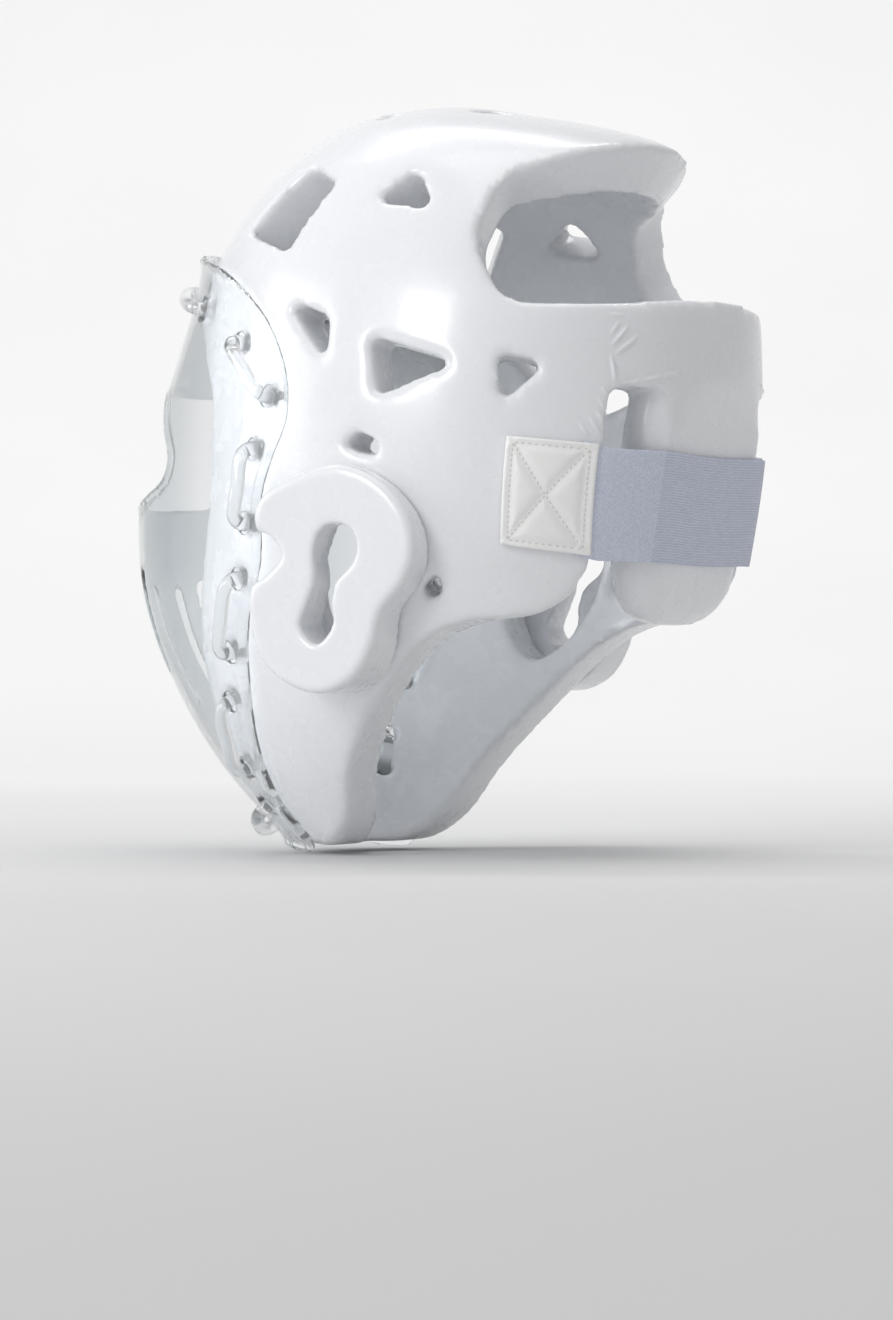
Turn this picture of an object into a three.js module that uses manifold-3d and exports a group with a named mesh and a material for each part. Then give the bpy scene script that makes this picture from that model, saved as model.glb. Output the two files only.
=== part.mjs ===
// A karate headgear: a one-piece dipped foam shell with two ear guards, a clear face shield laced round
// the face opening, and an elastic strap round the back that is sewn to the shell under two patches.
// Millimetres, +X to the wearer's left, -Y to the face, +Z up. The origin is the point inside the crown
// that sits on the top of the head.
import * as THREE from "three";
import { mergeVertices } from "three/addons/utils/BufferGeometryUtils.js";
import Module from "manifold-3d";

const wasm = await Module();
wasm.setup();

// Driving dimensions
const FOAM = 19; // wall of the foam shell
const CLEARANCE = 0.4; // between two pieces that touch on the real headgear
const SHIELD_WALL = 2.5; // wall of the clear face shield
const SHIELD_SEAT = 0.7; // face shield's clearance over the foam
const LACE_DIAMETER = 5; // clear lacing tube
const STRAP_WALL = 1.8; // woven elastic
const STRAP_WIDTH = 37.5;
const STRAP_SEAT = 0.7; // strap's clearance over the foam
const PATCH_WALL = 3.4; // patch with the strap's end sewn under it
const GUARD_FACE_X = 104; // outer face of the ear guards
const GUARD_ROOT_X = 57; // inside the foam, where the block of an ear guard starts
const GUARD_EDGE = 2; // rounding of the ear guards' face edges
const SHIELD_SPREAD = 52; // degrees either side of the front over which the shield bulges
const TOP_FLARE = { lift: 3, from: -52, full: -30 }; // the shield stands off the forehead between two heights
const OUTSIDE = { around: 28, up: 20 }; // facets round an outer skin, and from its crown to its chin
const INSIDE = { around: 18, up: 14 }; // the same of the foam's inner skin
const FAR = 200; // how far a cutter reaches past the headgear
const BELOW = -300; // height below the whole headgear
const STEP = 1e-3; // small step along the surface, to measure its slope
const EDGE_SHARE = 0.45; // most of an edge that the rounding of one corner takes

// Horizontal sections of the foam's outer surface from the crown to the chin: height, half width, y of the
// widest point, y of the front and of the back, superellipse exponent, and the face shield's forward bulge
const SECTIONS = [
  { z: 19, half: 0, mid: -2, front: -2, back: -2, square: 2, bulge: 0 },
  { z: 17.5, half: 26, mid: -2, front: -28, back: 12, square: 2, bulge: 0 },
  { z: 14.5, half: 38, mid: 0, front: -42, back: 29, square: 2, bulge: 0 },
  { z: 10, half: 49, mid: 2, front: -53.5, back: 51, square: 2, bulge: 0 },
  { z: 4, half: 57.5, mid: 4, front: -62, back: 70, square: 2, bulge: 0 },
  { z: -6, half: 67.5, mid: 6, front: -74, back: 85, square: 2.05, bulge: 0 },
  { z: -18, half: 75, mid: 8, front: -84, back: 93, square: 2.1, bulge: 0 },
  { z: -34, half: 82.5, mid: 9, front: -92, back: 97, square: 2.2, bulge: 0 },
  { z: -54, half: 88.5, mid: 10, front: -95.5, back: 98, square: 2.3, bulge: 5 },
  { z: -80, half: 93, mid: 10, front: -97, back: 98, square: 2.3, bulge: 16 },
  { z: -110, half: 94.5, mid: 8, front: -97, back: 97, square: 2.3, bulge: 29 },
  { z: -140, half: 92, mid: 5, front: -98, back: 92, square: 2.3, bulge: 30 },
  { z: -165, half: 86, mid: 0, front: -99, back: 86, square: 2.3, bulge: 23 },
  { z: -190, half: 76, mid: -5, front: -96, back: 80, square: 2.3, bulge: 13 },
  { z: -212, half: 63, mid: -10, front: -88, back: 74, square: 2.3, bulge: 5 },
  { z: -230, half: 50, mid: -15, front: -76, back: 66, square: 2.2, bulge: 0 },
  { z: -246, half: 38, mid: -20, front: -62, back: 56, square: 2.1, bulge: 0 },
  { z: -295, half: 0, mid: -20, front: -20, back: -20, square: 2, bulge: 0 },
];

// Outlines in the side view, as [y, z] points
const SHIELD_EDGE = [
  [-FAR, -31], [-100, -32], [-80, -37], [-64, -42.5], [-51, -50], [-36.5, -63], [-28, -80], [-27.5, -94],
  [-33, -106], [-38.5, -120], [-40, -142], [-48, -162], [-53, -187], [-56, -211], [-54, -226], [-46, -240],
  [-FAR, -240],
];
const JAW_EDGE = [
  [-FAR, -241], [-52, -241], [-38, -241], [-27, -232], [-19, -214], [-1.5, -190], [15, -173], [31, -164.5],
  [55, -161.5], [80, -160.5],
];
const PATCH_CORNERS = [[53.5, -101], [77.5, -103.5], [73, -140.5], [50, -137]];
const GUARD_OUTLINE = [
  [-31, -120.5], [-21, -115], [-2, -110], [13, -115], [24, -126], [28, -139], [25, -149], [16, -160.5],
  [12, -171], [5, -182], [-7, -187.5], [-20, -185], [-31, -176], [-35.5, -163], [-35, -151], [-29, -147],
  [-23.5, -140.5], [-28, -134], [-33, -132], [-34, -126.5],
];
const KEYHOLE_OUTLINE = [
  [-2, -130], [4, -132.5], [6, -138], [4, -144], [-2, -150], [-3.5, -156], [-3.5, -165], [-9.5, -171],
  [-15.5, -165], [-13, -157], [-10, -149], [-10.5, -140], [-8, -132.5],
];
const EAR_OPENING_OUTLINE = [
  [-5, -121], [12, -133], [13, -150], [4, -168], [-9, -176], [-21, -164], [-21, -140],
];

// Vents through the foam on both sides, by their corners in the side view
const VENT_ROUND = 3; // rounding of a vent's corners
const VENTS = [
  [[-2.5, -18.5], [11.5, -8], [21, -22.5]],
  [[-33, -51.5], [-14, -58.5], [-12, -76.5]],
  [[4, -66], [37, -76], [8, -86.5]],
  [[50, -73], [65, -76], [51.5, -90]],
  [[-5, -104], [1, -98.5], [10, -103], [9, -107.5]],
  [[19, -155.5], [28, -146.5], [28, -154]],
  [[-61, -26.5], [-36, -35], [-22, -11], [-37, -4]],
];

// Vents on top of the crown: height of the surface there, degrees from +X towards the back, and the
// corners round that point as [sideways on the surface, down the surface]
const CROWN_VENTS = [
  { z: 16, angle: -30, corners: [[-7, -9], [8, -5], [-5, 9]] },
  { z: 15, angle: 48, corners: [[-8, -9], [9, -3], [-6, 10]] },
];

// Openings cut square through the wall, from their left side to their middle: degrees from +X towards the
// back, and the upper and the lower edge there. The face opening, and that between crown and back band
const FACE_OPENING = [
  { angle: -43, upper: -95, lower: -107 },
  { angle: -44.8, upper: -85, lower: -122 },
  { angle: -49, upper: -75.3, lower: -145 },
  { angle: -52.6, upper: -68, lower: -168 },
  { angle: -54.4, upper: -65.5, lower: -190 },
  { angle: -56, upper: -63.7, lower: -207 },
  { angle: -62, upper: -59.6, lower: -214 },
  { angle: -70, upper: -57.6, lower: -219 },
  { angle: -90, upper: -57, lower: -223 },
];
const BACK_OPENING = [
  { angle: 18, upper: -29.5, lower: -37 },
  { angle: 20.5, upper: -21, lower: -45 },
  { angle: 23, upper: -15.5, lower: -51.5 },
  { angle: 28.5, upper: -9.5, lower: -55 },
  { angle: 40, upper: -5, lower: -55.5 },
  { angle: 54, upper: -1.2, lower: -55 },
  { angle: 75, upper: 1.8, lower: -53 },
  { angle: 90, upper: 2.3, lower: -52.5 },
];
const OPENING_CUT = { across: 28, up: 6, inside: 29, outside: 15 }; // facets of their cutters, and reach

// Bay behind a side panel: where it is seen square on, how deep its cutter goes, and its outline there as
// [towards the back, height]. The back pad hangs in the middle, between the left bay and the right one
const BAY = { angle: 52, z: -110, inside: 48, depth: 76 };
const BAY_OUTLINE = [
  [-0.5, -92], [0, -87], [5, -84], [80, -84], [80, -200], [-22, -200], [-22, -162], [-16, -159.5],
  [-8, -154], [-3.5, -143], [-1, -110],
];

// Back pad: outline in the back view from the middle to the left as [x, z], and how it leans
const PAD_OUTLINE = [
  [0, -76], [32, -76], [40, -84], [43, -98], [39, -140], [36, -153], [27, -163], [14, -166], [0, -166.5],
];
const PAD = { face: 95, lean: 9, leanFrom: -84, wall: 7, bevelDepth: 6, bevelWidth: 6 };

// Strap: degrees from +X of the points where it lies on a side panel, x where it lies on the back pad, the
// height of its upper edge at the ends, how much lower it hangs in the middle, and its facets
const STRAP = { panelAngles: [45, 48, 51], padX: [36, 18], upper: -102.7, dip: 3.5, along: 20, across: 2 };
const STRAP_POCKET = 2; // how far a patch is hollow under the strap's end
const PATCH_ROUND = 2; // rounding of a patch's corners

// Face shield: half of the eye window and the breathing slots, in the front view
const EYE_WINDOW = [
  [0, -79], [22, -79], [38, -82], [50, -94], [57, -105], [54, -113], [43, -118], [24, -122], [0, -123],
];
const BREATHING_SLOT_WIDTH = 5;
const BREATHING_SLOTS = [
  { x: 9, top: -150, bottom: -192 },
  { x: 21, top: -147, bottom: -188 },
  { x: 33, top: -144, bottom: -180 },
];

// Lace holes of the left side from the forehead to the chin: degrees from the front, and height
const LACE_HOLES = [
  { front: 17, z: -46 }, { front: 40, z: -54 }, { front: 58.5, z: -67 }, { front: 68.5, z: -86 },
  { front: 65, z: -104 }, { front: 63, z: -129 }, { front: 61, z: -148 }, { front: 57, z: -173 },
  { front: 53, z: -190 }, { front: 48.5, z: -213 }, { front: 45, z: -226 }, { front: 18, z: -233 },
];
const LACE_BEND = 2.8; // how far from a corner the lace starts to bend
const LACE_STRAIGHT = 150; // degrees: a corner wider than this needs no bend
const LACE_HOLE = 9.6; // across the corners of a hole
const LACE_HOLE_SIDES = 5;
const LACE_LIFT = 1; // between the lace's outside runs and the shield
const LACE_SLACK = 2; // between the lace's inside runs and the foam
const LACE_END = 3; // from the middle of the chin to each end of the lace

const { clamp, degToRad, lerp, radToDeg, smoothstep } = THREE.MathUtils;
const vector = (x, y, z) => new THREE.Vector3(x, y, z);

// Columns of a table read at any place between its first row, 0, and its last, 1
function tableReader(rows) {
  const curves = Object.keys(rows[0]).map((key) => [
    key,
    new THREE.SplineCurve(rows.map((row, i) => new THREE.Vector2(i, row[key]))),
  ]);
  return (t) => Object.fromEntries(curves.map(([key, curve]) => [key, curve.getPoint(clamp(t, 0, 1)).y]));
}
const sectionAt = tableReader(SECTIONS);

// Place in the section table of a height
function rowAt(z) {
  let [low, high] = [0, 1];
  for (let i = 0; i < 40; i += 1) {
    const middle = (low + high) / 2;
    if (sectionAt(middle).z > z) low = middle;
    else high = middle;
  }
  return low;
}

// A point of the foam's outer surface: t from the crown to the chin, angle from +X towards the back
function foamPoint(t, angle) {
  const { z, half, mid, front, back, square } = sectionAt(t);
  const power = (v) => Math.sign(v) * Math.abs(v) ** (2 / square);
  const reach = Math.sin(angle) < 0 ? mid - front : back - mid;
  return vector(half * power(Math.cos(angle)), mid + reach * power(Math.sin(angle)), z);
}

function foamNormal(t, angle) {
  if (t < STEP) return vector(0, 0, 1);
  if (t > 1 - STEP) return vector(0, 0, -1);
  const along = foamPoint(t, angle + STEP).sub(foamPoint(t, angle - STEP));
  const down = foamPoint(t + STEP, angle).sub(foamPoint(t - STEP, angle));
  return down.cross(along).normalize();
}

const offFoam = (t, angle, lift) => foamPoint(t, angle).addScaledVector(foamNormal(t, angle), lift);

// The directions sideways, down and outward at a point of the surface
function surfaceFrame(t, angle) {
  const outward = foamNormal(t, angle);
  const down = foamPoint(t + STEP, angle).sub(foamPoint(t, angle)).projectOnPlane(outward).normalize();
  return { side: down.clone().cross(outward).normalize(), down, outward };
}

// Angle on the left side at which the foam's surface has this y
function angleAt(t, y) {
  let [low, high] = [-Math.PI / 2, Math.PI / 2];
  for (let i = 0; i < 40; i += 1) {
    const middle = (low + high) / 2;
    if (foamPoint(t, middle).y < y) low = middle;
    else high = middle;
  }
  return low;
}

// A point of the face shield: it lies on the foam at the sides and bulges forward over the face
function shieldPoint(t, angle, lift) {
  const { bulge, z } = sectionAt(t);
  const fromFront = Math.abs(radToDeg(angle) + 90);
  const bump = smoothstep(1 - fromFront / SHIELD_SPREAD, 0, 1);
  const flare = TOP_FLARE.lift * smoothstep(z, TOP_FLARE.from, TOP_FLARE.full);
  return offFoam(t, angle, SHIELD_SEAT + flare + lift).add(vector(0, -bulge * bump, 0));
}

// A solid from a geometry, turned right side out
function solid(geometry) {
  const bare = new THREE.BufferGeometry().setAttribute("position", geometry.getAttribute("position").clone());
  const merged = mergeVertices(geometry.index ? bare.setIndex(geometry.index) : bare, 1e-4);
  const vertProperties = merged.getAttribute("position").array;
  const triVerts = new Uint32Array(merged.index.array);
  const body = new wasm.Manifold(new wasm.Mesh({ numProp: 3, vertProperties, triVerts }));
  if (body.volume() > 0) return body;
  triVerts.reverse();
  return new wasm.Manifold(new wasm.Mesh({ numProp: 3, vertProperties, triVerts }));
}

const onBothSides = (geometry) => solid(geometry).add(solid(geometry.clone().scale(-1, 1, 1)));

// A closed skin round the head: each vertex of a sphere moves to pointAt(t, angle)
function skin(pointAt, { around, up } = OUTSIDE) {
  const sphere = new THREE.SphereGeometry(1, around, up);
  const { position, uv } = sphere.attributes;
  for (let i = 0; i < position.count; i += 1) {
    const column = Math.round(uv.getX(i) * around) % around;
    const t = Math.round((1 - uv.getY(i)) * up) / up;
    const turn = ((column + 0.5) / around) * 2 * Math.PI;
    const angle = turn < 1.5 * Math.PI ? turn - Math.PI / 2 : turn - 2.5 * Math.PI;
    position.setXYZ(i, ...pointAt(t, angle).toArray());
  }
  return solid(sphere);
}

const foamSkin = (lift, facets) => skin((t, angle) => offFoam(t, angle, lift), facets);

// Outlines
const points = (pairs) => pairs.map(([a, b]) => new THREE.Vector2(a, b));
const mirrorPairs = (pairs) => [...pairs, ...pairs.map(([x, z]) => [-x, z]).reverse()];

// A smooth line through the points, with one more point between each two
function curved(pairs, closed = false) {
  const curve = new THREE.CatmullRomCurve3(pairs.map(([a, b]) => vector(a, b, 0)), closed, "centripetal");
  return curve.getPoints((pairs.length - (closed ? 0 : 1)) * 2).map(({ x, y }) => [x, y]);
}

const curvedShape = (pairs, closed) => new THREE.Shape(points(curved(pairs, closed)));

function roundedShape(corners, radius) {
  const shape = new THREE.Shape();
  corners.forEach((corner, i) => {
    const [start, end] = [corners.at(i - 1), corners[(i + 1) % corners.length]].map((next) => {
      const edge = next.clone().sub(corner);
      return edge.clampLength(0, Math.min(radius, edge.length() * EDGE_SHARE)).add(corner);
    });
    if (i === 0) shape.moveTo(start.x, start.y);
    else shape.lineTo(start.x, start.y);
    shape.quadraticCurveTo(corner.x, corner.y, end.x, end.y);
  });
  return shape;
}

// Prisms: a side-view shape pushed along X, and a front-view shape pushed along Y
function alongX(shape, from = -FAR, to = FAR, edge = 0) {
  const block = new THREE.ExtrudeGeometry(shape, {
    depth: to - from - edge, curveSegments: 2, bevelEnabled: edge > 0, bevelThickness: edge, bevelSize: edge,
    bevelOffset: -edge, bevelSegments: 1,
  });
  return block.applyMatrix4(new THREE.Matrix4().set(0, 0, 1, from, 1, 0, 0, 0, 0, 1, 0, 0, 0, 0, 0, 1));
}

function alongY(shape, from, to) {
  const block = new THREE.ExtrudeGeometry(shape, { depth: to - from, curveSegments: 2, bevelEnabled: false });
  return block.applyMatrix4(new THREE.Matrix4().set(1, 0, 0, 0, 0, 0, 1, from, 0, 1, 0, 0, 0, 0, 0, 1));
}

// A prism through the foam wall along the surface's normal; the shape lies square to it
function throughFoam(shape, t, angle) {
  const { side, down, outward } = surfaceFrame(t, angle);
  const block = new THREE.ExtrudeGeometry(shape, { depth: 3 * FOAM, curveSegments: 2, bevelEnabled: false });
  const place = new THREE.Matrix4().makeBasis(side, down, outward);
  return block.applyMatrix4(place.setPosition(offFoam(t, angle, -2 * FOAM)));
}

// Cutters of the foam shell
function ventCutter(corners) {
  const mean = (i) => corners.reduce((sum, corner) => sum + corner[i] / corners.length, 0);
  const t = rowAt(mean(1));
  const angle = angleAt(t, mean(0));
  const { side, down } = surfaceFrame(t, angle);
  const flat = corners.map(([y, z]) => {
    const row = rowAt(z);
    const fromMiddle = foamPoint(row, angleAt(row, y)).sub(foamPoint(t, angle));
    return new THREE.Vector2(fromMiddle.dot(side), fromMiddle.dot(down));
  });
  return throughFoam(roundedShape(flat, VENT_ROUND), t, angle);
}

function openingCutter(rows) {
  const edgesAt = tableReader(rows);
  const box = new THREE.BoxGeometry(1, 1, 1, OPENING_CUT.across, OPENING_CUT.up, 1);
  const { position } = box.attributes;
  for (let i = 0; i < position.count; i += 1) {
    const across = position.getX(i) * 2;
    const { angle, upper, lower } = edgesAt(1 - Math.abs(across));
    const z = lerp(lower, upper, position.getY(i) + 0.5);
    const turn = degToRad(across > 0 ? angle : 180 - angle);
    const lift = lerp(-OPENING_CUT.inside, OPENING_CUT.outside, position.getZ(i) + 0.5);
    position.setXYZ(i, ...offFoam(rowAt(z), turn, lift).toArray());
  }
  return solid(box);
}

function bayCutter() {
  const t = rowAt(BAY.z);
  const angle = degToRad(BAY.angle);
  const outward = foamNormal(t, angle).setZ(0).normalize();
  const towardsBack = vector(-outward.y, outward.x, 0);
  const shape = new THREE.Shape(points(BAY_OUTLINE));
  const block = new THREE.ExtrudeGeometry(shape, { depth: BAY.depth, bevelEnabled: false });
  const inside = foamPoint(t, angle).setZ(0).addScaledVector(outward, -BAY.inside);
  const place = new THREE.Matrix4().makeBasis(towardsBack, vector(0, 0, 1), outward);
  return block.applyMatrix4(place.setPosition(inside));
}

// The back pad: a flat-faced block with sloping edges that hangs from the band and leans in to the neck
function backPad() {
  const shape = new THREE.Shape(points(mirrorPairs(curved(PAD_OUTLINE).slice(0, -1))));
  const block = new THREE.ExtrudeGeometry(shape, {
    depth: PAD.wall, bevelThickness: PAD.bevelDepth, bevelSize: PAD.bevelWidth, bevelOffset: -PAD.bevelWidth,
    bevelSegments: 1,
  });
  const lean = degToRad(PAD.lean);
  const up = vector(0, Math.sin(lean), Math.cos(lean));
  const out = vector(0, Math.cos(lean), -Math.sin(lean));
  const place = new THREE.Matrix4().makeBasis(vector(1, 0, 0), up, out);
  place.setPosition(0, PAD.face, PAD.leanFrom);
  block.translate(0, -PAD.leanFrom, -PAD.wall - PAD.bevelDepth);
  return solid(block.applyMatrix4(place));
}

function foamShell() {
  const jaw = curved(JAW_EDGE);
  const below = [...jaw, [jaw.at(-1)[0], BELOW], [-FAR, BELOW]];
  const cutters = [
    solid(alongX(new THREE.Shape(points(below)))),
    solid(alongX(curvedShape(EAR_OPENING_OUTLINE, true))),
    openingCutter(FACE_OPENING),
    openingCutter(BACK_OPENING),
    onBothSides(bayCutter()),
    ...VENTS.map((corners) => onBothSides(ventCutter(corners))),
    ...CROWN_VENTS.map(({ z, angle, corners }) =>
      onBothSides(throughFoam(roundedShape(points(corners), VENT_ROUND), rowAt(z), degToRad(angle)))),
    ...laceHoles(),
  ];
  const wall = foamSkin(0).subtract(foamSkin(-FOAM, INSIDE));
  return cutters.reduce((body, cutter) => body.subtract(cutter), wall).add(backPad());
}

function earGuard() {
  const block = solid(alongX(curvedShape(GUARD_OUTLINE, true), GUARD_ROOT_X, GUARD_FACE_X, GUARD_EDGE));
  const keyhole = solid(alongX(curvedShape(KEYHOLE_OUTLINE, true)));
  return block.subtract(keyhole).subtract(foamSkin(CLEARANCE));
}

function faceShield() {
  const shieldSkin = (lift) => skin((t, angle) => shieldPoint(t, angle, lift));
  const wall = shieldSkin(SHIELD_WALL).subtract(shieldSkin(0));
  const outline = solid(alongX(curvedShape(SHIELD_EDGE)));
  const window = solid(alongY(curvedShape(mirrorPairs(EYE_WINDOW), true), -FAR, 0));
  const half = BREATHING_SLOT_WIDTH / 2;
  const slots = BREATHING_SLOTS.map(({ x, top, bottom }) => {
    const corners = points([[x - half, top], [x + half, top], [x + half, bottom], [x - half, bottom]]);
    return onBothSides(alongY(roundedShape(corners, half), -FAR, 0));
  });
  const cutters = [window, ...slots, ...laceHoles()];
  return cutters.reduce((body, cutter) => body.subtract(cutter), wall.intersect(outline));
}

// The strap's inner face in plan at a height, from its left end to its right end
function strapLine(z, grow) {
  const [end, ...angles] = STRAP.panelAngles;
  const onPanel = [end - grow, ...angles].map((angle) => offFoam(rowAt(z), degToRad(angle), STRAP_SEAT));
  const face = PAD.face + (z - PAD.leanFrom) * Math.tan(degToRad(PAD.lean)) + STRAP_SEAT;
  const left = [...onPanel, ...STRAP.padX.map((x) => vector(x, face, z))];
  const right = left.map(({ x, y }) => vector(-x, y, z)).reverse();
  return new THREE.CatmullRomCurve3([...left, vector(0, face, z), ...right], false, "centripetal");
}

// The strap, or with some growth and a pocket the hollow that its end needs in a patch
function strap(grow = 0, pocket = 0) {
  const box = new THREE.BoxGeometry(1, 1, 1, STRAP.along, STRAP.across, 1);
  const { position } = box.attributes;
  for (let i = 0; i < position.count; i += 1) {
    const along = position.getX(i) + 0.5;
    const middle = STRAP.upper - STRAP_WIDTH / 2 - STRAP.dip * Math.sin(Math.PI * along);
    const z = middle + position.getY(i) * (STRAP_WIDTH + 2 * grow);
    const line = strapLine(z, grow);
    const outward = line.getTangent(along).cross(vector(0, 0, 1));
    const lift = lerp(-pocket, STRAP_WALL + grow, position.getZ(i) + 0.5);
    position.setXYZ(i, ...line.getPoint(along).addScaledVector(outward, lift).toArray());
  }
  return solid(box);
}

function strapPatch() {
  const wall = foamSkin(CLEARANCE + PATCH_WALL).subtract(foamSkin(CLEARANCE));
  const outline = solid(alongX(roundedShape(points(PATCH_CORNERS), PATCH_ROUND), 0));
  return wall.intersect(outline).subtract(strap(CLEARANCE, STRAP_POCKET));
}

// Lace holes from the chin up the right side and down the left side to the chin
function lacePlaces() {
  const left = LACE_HOLES.map(({ front, z }) => ({ angle: degToRad(front - 90), t: rowAt(z) }));
  const right = left.map(({ angle, t }) => ({ angle: -Math.PI - angle, t })).reverse();
  return [...right, ...left];
}

const LACE_RADIUS = LACE_DIAMETER / 2;
const outsideShield = ({ t, angle }) => shieldPoint(t, angle, SHIELD_WALL + LACE_RADIUS + LACE_LIFT);
const insideFoam = ({ t, angle }) => offFoam(t, angle, -FOAM - LACE_RADIUS - LACE_SLACK);

function laceHoles() {
  return lacePlaces().map((place) => {
    const [inner, outer] = [insideFoam(place), outsideShield(place)];
    const axis = outer.clone().sub(inner);
    const length = axis.length() + LACE_HOLE;
    const drill = new THREE.CylinderGeometry(LACE_HOLE / 2, LACE_HOLE / 2, length, LACE_HOLE_SIDES);
    drill.applyQuaternion(new THREE.Quaternion().setFromUnitVectors(vector(0, 1, 0), axis.normalize()));
    return solid(drill.translate(...inner.add(outer).divideScalar(2).toArray()));
  });
}

// The lace's corners: out through one hole, along the shield, in through the next and along the inside
function laceCorners() {
  const places = lacePlaces();
  const between = (a, b) => ({ t: (a.t + b.t) / 2, angle: (a.angle + b.angle) / 2 });
  const chin = insideFoam({ t: places[0].t, angle: -Math.PI / 2 });
  const runs = places.flatMap((place, i) => {
    if (i % 2) return [outsideShield(place), insideFoam(place)];
    return [insideFoam(place), outsideShield(place), outsideShield(between(place, places[i + 1]))];
  });
  return [chin.clone().setX(-LACE_END), ...runs, chin.clone().setX(LACE_END)];
}

function lace() {
  const corners = laceCorners();
  const line = corners.flatMap((corner, i) => {
    if (i === 0 || i === corners.length - 1) return [corner];
    const back = corners[i - 1].clone().sub(corner);
    const ahead = corners[i + 1].clone().sub(corner);
    if (back.angleTo(ahead) > degToRad(LACE_STRAIGHT)) return [corner];
    return [back, ahead].map((way) => way.setLength(LACE_BEND).add(corner));
  });
  const path = new THREE.CatmullRomCurve3(line, false, "centripetal");
  path.getUtoTmapping = (u) => u;
  const ring = new THREE.Shape().absarc(0, 0, LACE_RADIUS, 0, 2 * Math.PI);
  const steps = line.length - 1;
  return solid(new THREE.ExtrudeGeometry(ring, { steps, curveSegments: 3, extrudePath: path }));
}

// Colours and finishes
const FINISHES = {
  foam: { color: 0xf2f3f7, roughness: 0.28, metalness: 0 },
  shield: { color: 0xbfcad2, roughness: 0.08, metalness: 0 },
  lace: { color: 0xd5dadd, roughness: 0.15, metalness: 0 },
  elastic: { color: 0xbcc2d6, roughness: 0.85, metalness: 0 },
  patch: { color: 0xefefed, roughness: 0.55, metalness: 0 },
};

function piece(name, body, finish) {
  const { vertProperties, triVerts } = body.getMesh();
  const geometry = new THREE.BufferGeometry();
  geometry.setAttribute("position", new THREE.BufferAttribute(new Float32Array(vertProperties), 3));
  geometry.setIndex(new THREE.BufferAttribute(new Uint32Array(triVerts), 1));
  geometry.computeVertexNormals();
  const mesh = new THREE.Mesh(geometry, new THREE.MeshStandardMaterial(FINISHES[finish]));
  mesh.name = name;
  return mesh;
}

function mirrored(mesh, name) {
  const copy = new THREE.Mesh(mesh.geometry, mesh.material.clone());
  copy.name = name;
  copy.scale.x = -1;
  return copy;
}

const guard = piece("ear_guard_left", earGuard(), "foam");
const patch = piece("strap_patch_left", strapPatch(), "patch");

const group = new THREE.Group();
group.add(
  piece("foam_shell", foamShell(), "foam"),
  guard,
  mirrored(guard, "ear_guard_right"),
  piece("face_shield", faceShield(), "shield"),
  piece("mask_lace", lace(), "lace"),
  piece("rear_strap", strap(), "elastic"),
  patch,
  mirrored(patch, "strap_patch_right"),
);
export default group;
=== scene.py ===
# %% [markdown]
# # A karate headgear
# The headgear is one shell of foam that was dipped in white vinyl. Two ear guards stand on its sides, a
# clear face shield is laced round the face opening, and an elastic strap goes round the back. The solids
# that come with the part already have these forms, but with flat facets and sharp edges. Each piece is
# made again here in the same place, with a smooth skin, soft edges and its own finish.
#
# The tables are in millimetres, as on a drawing. A finished mesh is scaled to metres.

import math

import bmesh
import bpy
import numpy as np
from mathutils import Matrix, Vector
from mathutils.bvhtree import BVHTree


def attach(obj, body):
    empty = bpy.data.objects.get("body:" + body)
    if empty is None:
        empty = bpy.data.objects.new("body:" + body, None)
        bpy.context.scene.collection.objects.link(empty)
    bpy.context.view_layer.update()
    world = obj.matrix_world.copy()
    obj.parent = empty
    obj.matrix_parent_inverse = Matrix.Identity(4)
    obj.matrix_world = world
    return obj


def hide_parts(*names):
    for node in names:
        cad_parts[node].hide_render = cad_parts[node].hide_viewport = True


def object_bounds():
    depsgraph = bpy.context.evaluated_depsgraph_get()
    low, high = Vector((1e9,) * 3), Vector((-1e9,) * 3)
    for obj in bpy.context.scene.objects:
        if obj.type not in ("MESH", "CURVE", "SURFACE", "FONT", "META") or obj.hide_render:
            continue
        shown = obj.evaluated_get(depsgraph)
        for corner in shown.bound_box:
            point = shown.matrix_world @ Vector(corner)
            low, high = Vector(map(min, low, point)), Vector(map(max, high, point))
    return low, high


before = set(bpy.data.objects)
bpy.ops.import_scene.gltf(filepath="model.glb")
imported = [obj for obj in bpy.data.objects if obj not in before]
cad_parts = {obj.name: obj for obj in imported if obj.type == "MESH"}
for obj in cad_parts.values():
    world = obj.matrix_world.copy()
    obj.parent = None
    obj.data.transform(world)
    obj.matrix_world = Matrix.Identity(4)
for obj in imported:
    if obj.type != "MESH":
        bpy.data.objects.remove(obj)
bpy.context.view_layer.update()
MM = 0.001
print("solids:", sorted(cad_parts))

# %% [markdown]
# ## The camera
# The photo shows the headgear from behind its left side, through a long lens that is level with the jaw.
# The camera stands there before anything is modelled, so that each piece can be looked at as in the photo.

# %% Set the camera up
CAMERA_EYE = Vector((1608.9, 807.2, -176.2)) * MM
CAMERA_TARGET = Vector((5.1, -10.0, -176.2)) * MM
CAMERA_LENS, CAMERA_SENSOR = 138.3, 36


def new_object(name, data):
    made = bpy.data.objects.new(name, data)
    bpy.context.scene.collection.objects.link(made)
    return made


camera = new_object("camera", bpy.data.cameras.new("camera"))
camera.data.lens = CAMERA_LENS
camera.data.sensor_width = CAMERA_SENSOR
camera.location = CAMERA_EYE
camera.rotation_euler = (CAMERA_TARGET - CAMERA_EYE).to_track_quat("-Z", "Y").to_euler()
bpy.context.scene.camera = camera
print("camera distance in m:", round((CAMERA_TARGET - CAMERA_EYE).length, 2))

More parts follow.
